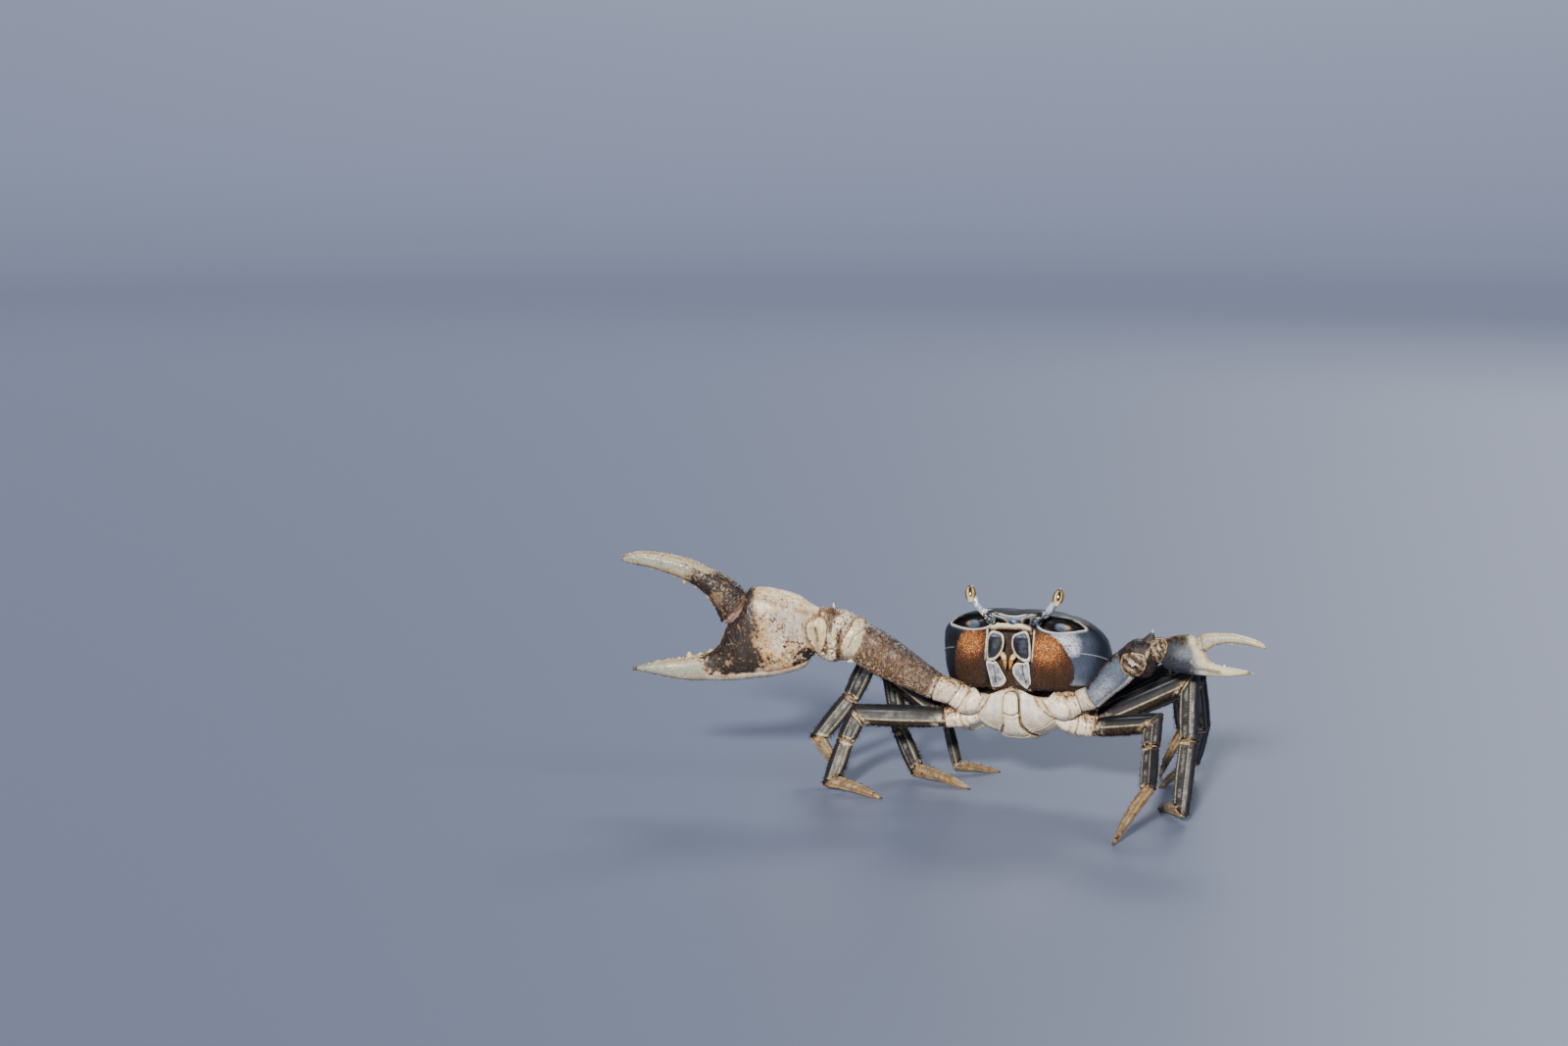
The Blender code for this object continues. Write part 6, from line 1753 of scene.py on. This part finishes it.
# %% Hip rings
def hip_ring(side, number, seed):
    """The hip of one limb: an inner ring, a fold of skin and an outer ring."""
    x, y, z = COXA[number]
    inner, hip = on_body((SIDES[side] * (x - 6), y, z + 4)), hip_of(side, number)
    if number == 1:
        end, size = on_floor(CLAWS[side]["ischium"]), CLAW_COXA
    else:
        key = f"{side}{number - 1}"
        end, size = on_floor(LEGS[key][0]), LEG_COXA * LEG_SCALE[key[1]]
    stops = np.array([inner, hip, (hip + end) / 2, end - unit(end - hip) * GAP / 2])
    u = np.linspace(0, 3, 100)
    spine = curve(np.column_stack([np.arange(4), stops]), u)
    skin = tube_skin(spine, size * curve(COXA_PROFILE, u), TURN @ (0, 1, 0), columns=72)
    t = (u / 3)[:, None] * np.ones(skin.speck.shape)
    at = t + 0.055 * np.sin(skin.angle + 2.2) + 0.012 * np.sin(3 * skin.angle + seed)
    blot, fine = skin.cloud(2.5, seed), skin.cloud(1.0, seed + 1)
    skin.dye((232, 222, 200))
    skin.dye((250, 246, 236), 0.75 * ease(blot, -0.3, 0.4))
    first, second, end_rim = bump(at, 0.5, 0.03), bump(at, 0.74, 0.02), bump(at, 0.95, 0.03)
    gold = np.clip(bump(at, 0.57, 0.022) + 0.5 * bump(at, 0.78, 0.015) + bump(at, 0.43, 0.014), 0, 1)
    skin.dye((176, 138, 88), gold * 0.8)
    crack = np.clip(bump(at, 0.55, 0.012) + 0.5 * bump(at, 0.765, 0.008) + bump(at, 0.4, 0.01), 0, 1)
    skin.dye((66, 40, 24), crack * ease(fine, -0.8, 0.0))
    skin.dye((232, 216, 182), np.clip(first + second + end_rim, 0, 1) * 0.9)
    skin.stain += 0.2 + 0.1 * blot + 0.12 * ease(t, 0.6, 0.9) + (0.1 if number > 1 else 0)
    height = skin.points[..., 2] - skin.points[..., 2].mean(axis=1, keepdims=True)
    upper = ease(height / size, 0.2, 0.75) * ease(fine + blot, -0.7, 0.4)
    skin.dye((112, 72, 42), upper * 0.85)
    skin.stain += 0.3 * upper
    if number > 1:
        skin.dye((150, 146, 146), 0.5 * ease(t, 0.6, 0.9) * ease(blot, -0.5, 0.3))
    skin.lift(0.4 * first + 0.12 * second + 0.2 * end_rim - 0.5 * bump(at, 0.565, 0.02)
              - 0.15 * bump(at, 0.765, 0.012) + 0.1 * fine - 0.7 * ease(t, 0.985, 1.0))
    skin.speck += 0.2
    return skin


for side, sign in SIDES.items():
    hips = [hip_ring(side, number, 110 + 5 * number + sign) for number in COXA]
    new_piece(f"hips_{side}", hips, IVORY)

# %% Folded tail
outside, inside = 64, 16
u = tail_u[:, None]
k_out = np.sin(np.linspace(-math.pi / 2, math.pi / 2, outside))[None]
k_in = np.linspace(1, -1, inside + 2)[None, 1:-1]
k = np.concatenate([k_out, k_in], 1)
crown = np.concatenate([np.sqrt(np.maximum(0, 1 - k_out ** 6)), 0 * k_in], 1)
tip_round = ease(tail_run[:, None], -0.6, 2.2)
lift = 2 * GAP + FLAP_THICK * crown * tip_round
tail_points = lifted(tail_half[:, None] * k, tail_y[:, None] + 0 * k, lift)
tail = Skin(on_body(tail_points))
tail.dye((240, 232, 216))
bend = u - 0.12 * (1 - k ** 2) * ease(2 - u, 0, 1) + 0.13 * k ** 2 * ease(u - 2, 0, 1)
joints_at = sum(bump(bend, at, 0.05) for at in FLAP_SEAMS)
behind = sum(bump(bend, at + 0.12, 0.06) for at in FLAP_SEAMS)
edge = bump(np.abs(k), 0.93, 0.06) * (crown > 0)
telson_rim = bump(tail_run[:, None], 1.0, 0.6) * (crown > 0)
blot, fine = tail.cloud(3.5, 121), tail.cloud(1.2, 122)
tail.lift((-0.5 * joints_at + 0.35 * behind + 0.25 * edge) * (crown > 0.3) + 0.08 * blot)
tail.dye((252, 244, 228), 0.5 + 0.5 * blot)
tail.dye((214, 204, 200), 0.5 * bump(np.abs(k), 0.45, 0.2))
tail.dye((226, 206, 164), np.clip(edge + telson_rim * 0.5 + behind, 0, 1) * 0.75)
tail.dye((84, 50, 26), joints_at * 0.95)
tail.stain += 0.14 + 0.08 * blot
tail.dye((186, 160, 112), 0.55 * ease(u, 2.4, 3.6) * ease(blot, -0.2, 0.5))
# Painted shade: the hidden under face of the tail, against the breastplate, is painted dark.
tail.dye((40, 28, 22), crown < 0.2)
tail.speck += 0.12
new_piece("folded_tail", [tail], IVORY, ["abdomen"])

# %% [markdown]
# ## The door of the mouth
#
# Two pairs of plates close a crab's mouth like a double door: dark oval upper ones with a thick pale
# border, and pale lower ones with a slit. They are flat, so a sculpt would waste points. Each is an
# outline seen from the front, filled with shrinking copies of itself, and a profile says how far
# each copy stands out: border, gutter, then a low dome.

# %% Mouth plates
# The outlines are (distance from the middle of the mouth, z). The two sides hang a little differently.
UPPER = {"r": [(8.5, -0.9), (4.6, -2.3), (3.0, -6.2), (3.8, -12.0), (7.0, -16.4), (10.0, -17.6),
               (12.2, -17.2), (12.8, -11.1), (12.8, -5.3), (11.3, -1.4)],
         "l": [(1.9, -2.9), (4.6, -1.3), (9.0, -0.2), (11.4, -4.1), (12.4, -9.7), (12.5, -16.4),
               (8.9, -17.1), (4.7, -14.6), (2.0, -10.3), (1.2, -6.7)]}
LOWER = {"r": [(12.6, -17.8), (9.0, -18.0), (6.8, -17.8), (3.6, -22.4), (1.3, -26.8), (4.4, -30.0),
               (7.6, -31.4), (9.4, -31.2), (11.2, -24.6)],
         "l": [(4.8, -17.8), (8.6, -17.8), (11.6, -17.3), (12.5, -22.9), (13.2, -30.4), (11.3, -31.2),
               (7.2, -28.6), (3.2, -24.2), (2.6, -20.6)]}
SLITS = {"r": [(8.3, -20.0), (7.4, -24.0), (7.2, -28.0)], "l": [(8.4, -19.4), (8.6, -23.0), (10.2, -27.6)]}
FACE = [(0, -31.5), (0.3, -30.4), (0.6, -28.4), (0.8, -25.6), (1.0, -21.5)]
FACE_DEPTH = 31.0
BORDERED = [(0, 0.0), (0.05, 0.5), (0.12, 0.7), (0.2, 0.3), (0.26, 0.05), (0.5, 0.45), (0.8, 0.75),
            (1.0, 0.8)]
PLAIN = [(0, 0.0), (0.06, 0.4), (0.16, 0.55), (0.28, 0.3), (0.6, 0.5), (1.0, 0.55)]


def before_mouth(sign, forward):
    """The bed of the plates: the curved front of the mouth."""
    def place(a, b, out):
        front = curve(FACE, np.clip(-b / FACE_DEPTH, 0, 1)) - forward
        return on_body(np.stack([MOUTH_X + sign * a, front - out, b], -1))
    return place


for side, sign in SIDES.items():
    upper = plate_skin(UPPER[side], before_mouth(sign, 0.5), BORDERED, depth=3.2, rings=44, per=14)
    blot, fine = upper.cloud(2.2, 131 + sign), upper.cloud(0.8, 133)
    upper.dye((13, 17, 26))
    upper.dye((60, 68, 84), 0.5 * ease(blot, 0.0, 0.7) + 0.25 * bump(upper.a, 8, 2.5))
    border = 1 - ease(upper.inward, 0.15, 0.22)
    top_frame = ease(upper.b, -4.8 + 0.5 * blot, -3.6 + 0.5 * blot)
    upper.dye((104, 116, 138), top_frame)
    upper.dye((20, 22, 30), bump(upper.b, -4.9, 0.35) * (1 - border))
    upper.dye((226, 220, 206), border * (1 - upper.wall) * (0.75 + 0.4 * fine))
    upper.dye((30, 24, 22), bump(upper.inward, 0.235, 0.03))
    upper.dye((84, 54, 32), upper.wall * 0.95)
    upper.lift(0.05 * fine * (1 - upper.wall))
    upper.speck += 0.4 * (1 - border)
    lower = plate_skin(LOWER[side], before_mouth(sign, 0.3), PLAIN, depth=3.2, rings=44, per=14)
    blot = lower.cloud(2.2, 135 + sign)
    slit = along_line(lower, SLITS[side], 0.45)
    lower.dye((118, 126, 142))
    lower.dye((190, 194, 202), 0.7 * ease(blot, -0.3, 0.5))
    lower.dye((230, 218, 190), (1 - ease(lower.inward, 0.14, 0.24)) * (1 - lower.wall))
    lower.dye((58, 50, 50), slit * 0.85)
    lower.dye((84, 54, 32), lower.wall * 0.95)
    lower.lift(-0.35 * slit * (1 - lower.wall))
    lower.speck += 0.25
    new_piece(f"mouth_door_{side}", [upper, lower], PLATE, [f"maxilliped_{side}"])
    t = np.linspace(0, 3, 40)
    path = curve([(0, 4.6, -28.9, -12.6), (1, 2.6, -29.6, -15.0), (2, 1.6, -29.2, -18.0),
                  (3, 1.4, -28.0, -21.5)], t)
    wide = np.interp(t, [0, 0.3, 1, 2, 3], [0.5, 1.4, 1.45, 1.15, 0.3])
    palp = tube_skin(on_body(path * (sign, 1, 1) + (MOUTH_X, 0, 0)), np.outer(wide, (1, 0.85)),
                     TURN @ (0, 1, 0), columns=28)
    palp.dye((186, 130, 62))
    palp.dye((240, 208, 140), 0.85 * bump(palp.t, 0.35, 0.17))
    palp.dye((84, 50, 26), 0.7 * bump(palp.t, 0.55, 0.05) + 0.7 * ease(palp.t, 0.72, 1.0))
    palp.lift(0.12 * palp.cloud(0.9, 137))
    new_piece(f"mouth_palp_{side}", [palp], SKIN)

# %% [markdown]
# ## Eyes and feelers
#
# The eyes stand on pale jointed stalks and can fold down into the orbits. Each is a long oval that
# glows amber at its rim and is almost black in the middle. Real glass would need layers. An opaque
# amber ground with a painted dark core, under a clear coat, gives the same look.

# %% Eyes
STALK_PATH = [(0, 14.5, -33.5, 8.0), (1, 18.2, -36.0, 8.8), (2, 21.6, -38.0, 12.4), (3, 24.3, -39.0, 17.6)]
STALK_SIZES = [(0, 2.9, 2.7), (0.6, 2.3, 2.1), (1.2, 1.8, 1.8), (2, 2.0, 2.0), (3, 2.1, 2.0)]
EYE_FOOT, EYE_TOP = (24.3, -39.3, 12.4), (26.0, -40.4, 22.5)
EYE_WIDTH = 3.1
EYE_SIZES = [(0.0, 0.5), (0.05, 1.35), (0.14, 2.15), (0.3, 2.85), (0.52, EYE_WIDTH), (0.74, 2.8),
             (0.88, 2.0), (0.96, 1.2), (1.0, 0.5)]
EYE = shell_material("clear_eye", deep=(60, 34, 14), amount=0.35, cloud_size=1.2, grain_size=0.25,
                     relief=0.01, smooth=0.04, rough=0.12, coat=1.0)
STALK = shell_material("stalk_shell", deep=(70, 86, 108), amount=0.35, cloud_size=2.0, relief=0.03,
                       smooth=0.12, rough=0.3, coat=0.5)
LOOK = unit(np.array((-0.12, -1.0, 0.12)))
for side, sign in SIDES.items():
    across = TURN @ (0, 1, 0)
    t = np.linspace(0, 3, 80)
    stalk = tube_skin(on_body(curve(STALK_PATH, t) * (sign, 1, 1)), curve(STALK_SIZES, t), across,
                      columns=48)
    t = (t / 3)[:, None] * np.ones(stalk.speck.shape)
    blot = stalk.cloud(1.6, 141 + sign)
    stalk.dye((124, 146, 170))
    stalk.dye((208, 220, 228), 0.75 * ease(blot, -0.2, 0.5))
    stalk.dye((70, 92, 124), 0.7 * bump(t, 0.42, 0.04))
    stalk.dye((22, 20, 24), 1 - ease(t + 0.05 * blot, 0.2, 0.3))
    stalk.dye((220, 204, 166), bump(t, 0.27, 0.05) * ease(blot, -0.3, 0.2))
    stalk.lift(0.25 * bump(t, 0.33, 0.04) - 0.25 * bump(t, 0.42, 0.03) + 0.1 * blot)
    stalk.wet += 0.3
    new_piece(f"eyestalk_{side}_skin", [stalk], STALK, [f"eyestalk_{side}"])
    foot, top = (on_body((sign * p[0], p[1], p[2])) for p in (EYE_FOOT, EYE_TOP))
    v = np.concatenate([[0], 0.5 - 0.5 * np.cos(math.pi * np.linspace(0.08, 0.92, 70)), [1]])
    wide = curve(EYE_SIZES, v)
    spine = foot + (top - foot) * v[:, None]
    ball = tube_skin(spine, np.column_stack([wide, wide * 0.94]), across, columns=64, power=2.0)
    forward = ball.normals() @ LOOK
    w = v[:, None] * np.ones(ball.speck.shape)
    sideways = (ball.points - spine[:, None]) @ unit(np.cross(unit(top - foot), LOOK)) / EYE_WIDTH
    core = ease(1 - (sideways / 0.34) ** 2 - ((w - 0.56) / 0.30) ** 2, -0.3, 0.4) * ease(forward, 0.1, 0.4)
    ring = ease(1 - (sideways / 0.74) ** 2 - ((w - 0.52) / 0.42) ** 2, -0.2, 0.6) * ease(forward, 0.0, 0.3)
    ball.dye((96, 68, 30))
    ball.stain += 0.3 * (1 - ease(forward, 0.6, 0.9))
    ball.dye((52, 34, 16), ease(np.abs(sideways), 0.7, 0.92) * 0.85)
    ball.dye((196, 160, 84), ring)
    ball.dye((240, 220, 170), ring * bump(sideways, -0.5, 0.2))
    ball.dye((236, 226, 196), 0.9 * bump(w, 0.1, 0.1) + 0.4 * ring * ease(0.35 - w, 0, 0.15))
    ball.dye((84, 56, 20), ease(w, 0.8, 0.93) * 0.9)
    ball.dye((10, 7, 5), core)
    ball.wet += 0.5
    new_piece(f"eye_{side}_skin", [ball], EYE, [f"eye_{side}"])

# %% Feelers
ANTENNA = [(0, 11.0, -35.9, 3.6), (1, 12.5, -37.3, 4.2), (2, 16.0, -38.6, 5.6), (3, 19.5, -39.4, 8.3)]
ANTENNA_SIZES = [(0, 1.9, 1.6), (1, 2.0, 1.7), (2, 0.9, 0.9), (3, 0.3, 0.3)]


def knob(centre, size, colour, seed, turn):
    """A small smooth lump of the face, in the body's frame."""
    v = np.linspace(-1, 1, 26)
    wide = np.sqrt(np.maximum(0.002, 1 - v ** 2))
    spine = on_body(np.asarray(centre) + np.outer(v * size[0], unit(turn)))
    skin = tube_skin(spine, np.outer(wide, (size[2], size[1])), TURN @ (0, 1, 0), columns=32, power=2.0)
    skin.dye(colour)
    skin.dye((170, 188, 214), 0.5 * ease(skin.cloud(1.4, seed), 0.0, 0.6))
    skin.wet += 0.4
    return skin


for side, sign in SIDES.items():
    u = np.linspace(0, 3, 60)
    feeler = tube_skin(on_body(curve(ANTENNA, u) * (sign, 1, 1)), curve(ANTENNA_SIZES, u), (0, 1, 0),
                       columns=28)
    rough = feeler.cloud(1.3, 152)
    feeler.dye((30, 30, 36))
    feeler.dye((206, 190, 156), 0.9 * ease(rough, 0.1, 0.45))
    feeler.dye((96, 114, 146), 0.8 * ease(-rough, 0.3, 0.6))
    feeler.lift(0.3 * rough)
    lump = knob((sign * 13.6 + FACE_MIDDLE * 0.5, -33.0, 4.6), (2.6, 1.8, 2.1), (40, 50, 72), 151,
                (sign, 0, 0.2))
    new_piece(f"feeler_{side}", [feeler, lump], STALK, [f"antenna_{side}"])
lump = knob((FACE_MIDDLE, -33.6, 4.5), (3.2, 1.6, 1.7), (42, 54, 78), 153, (1, 0, 0))
new_piece("feeler_knob", [lump], STALK)
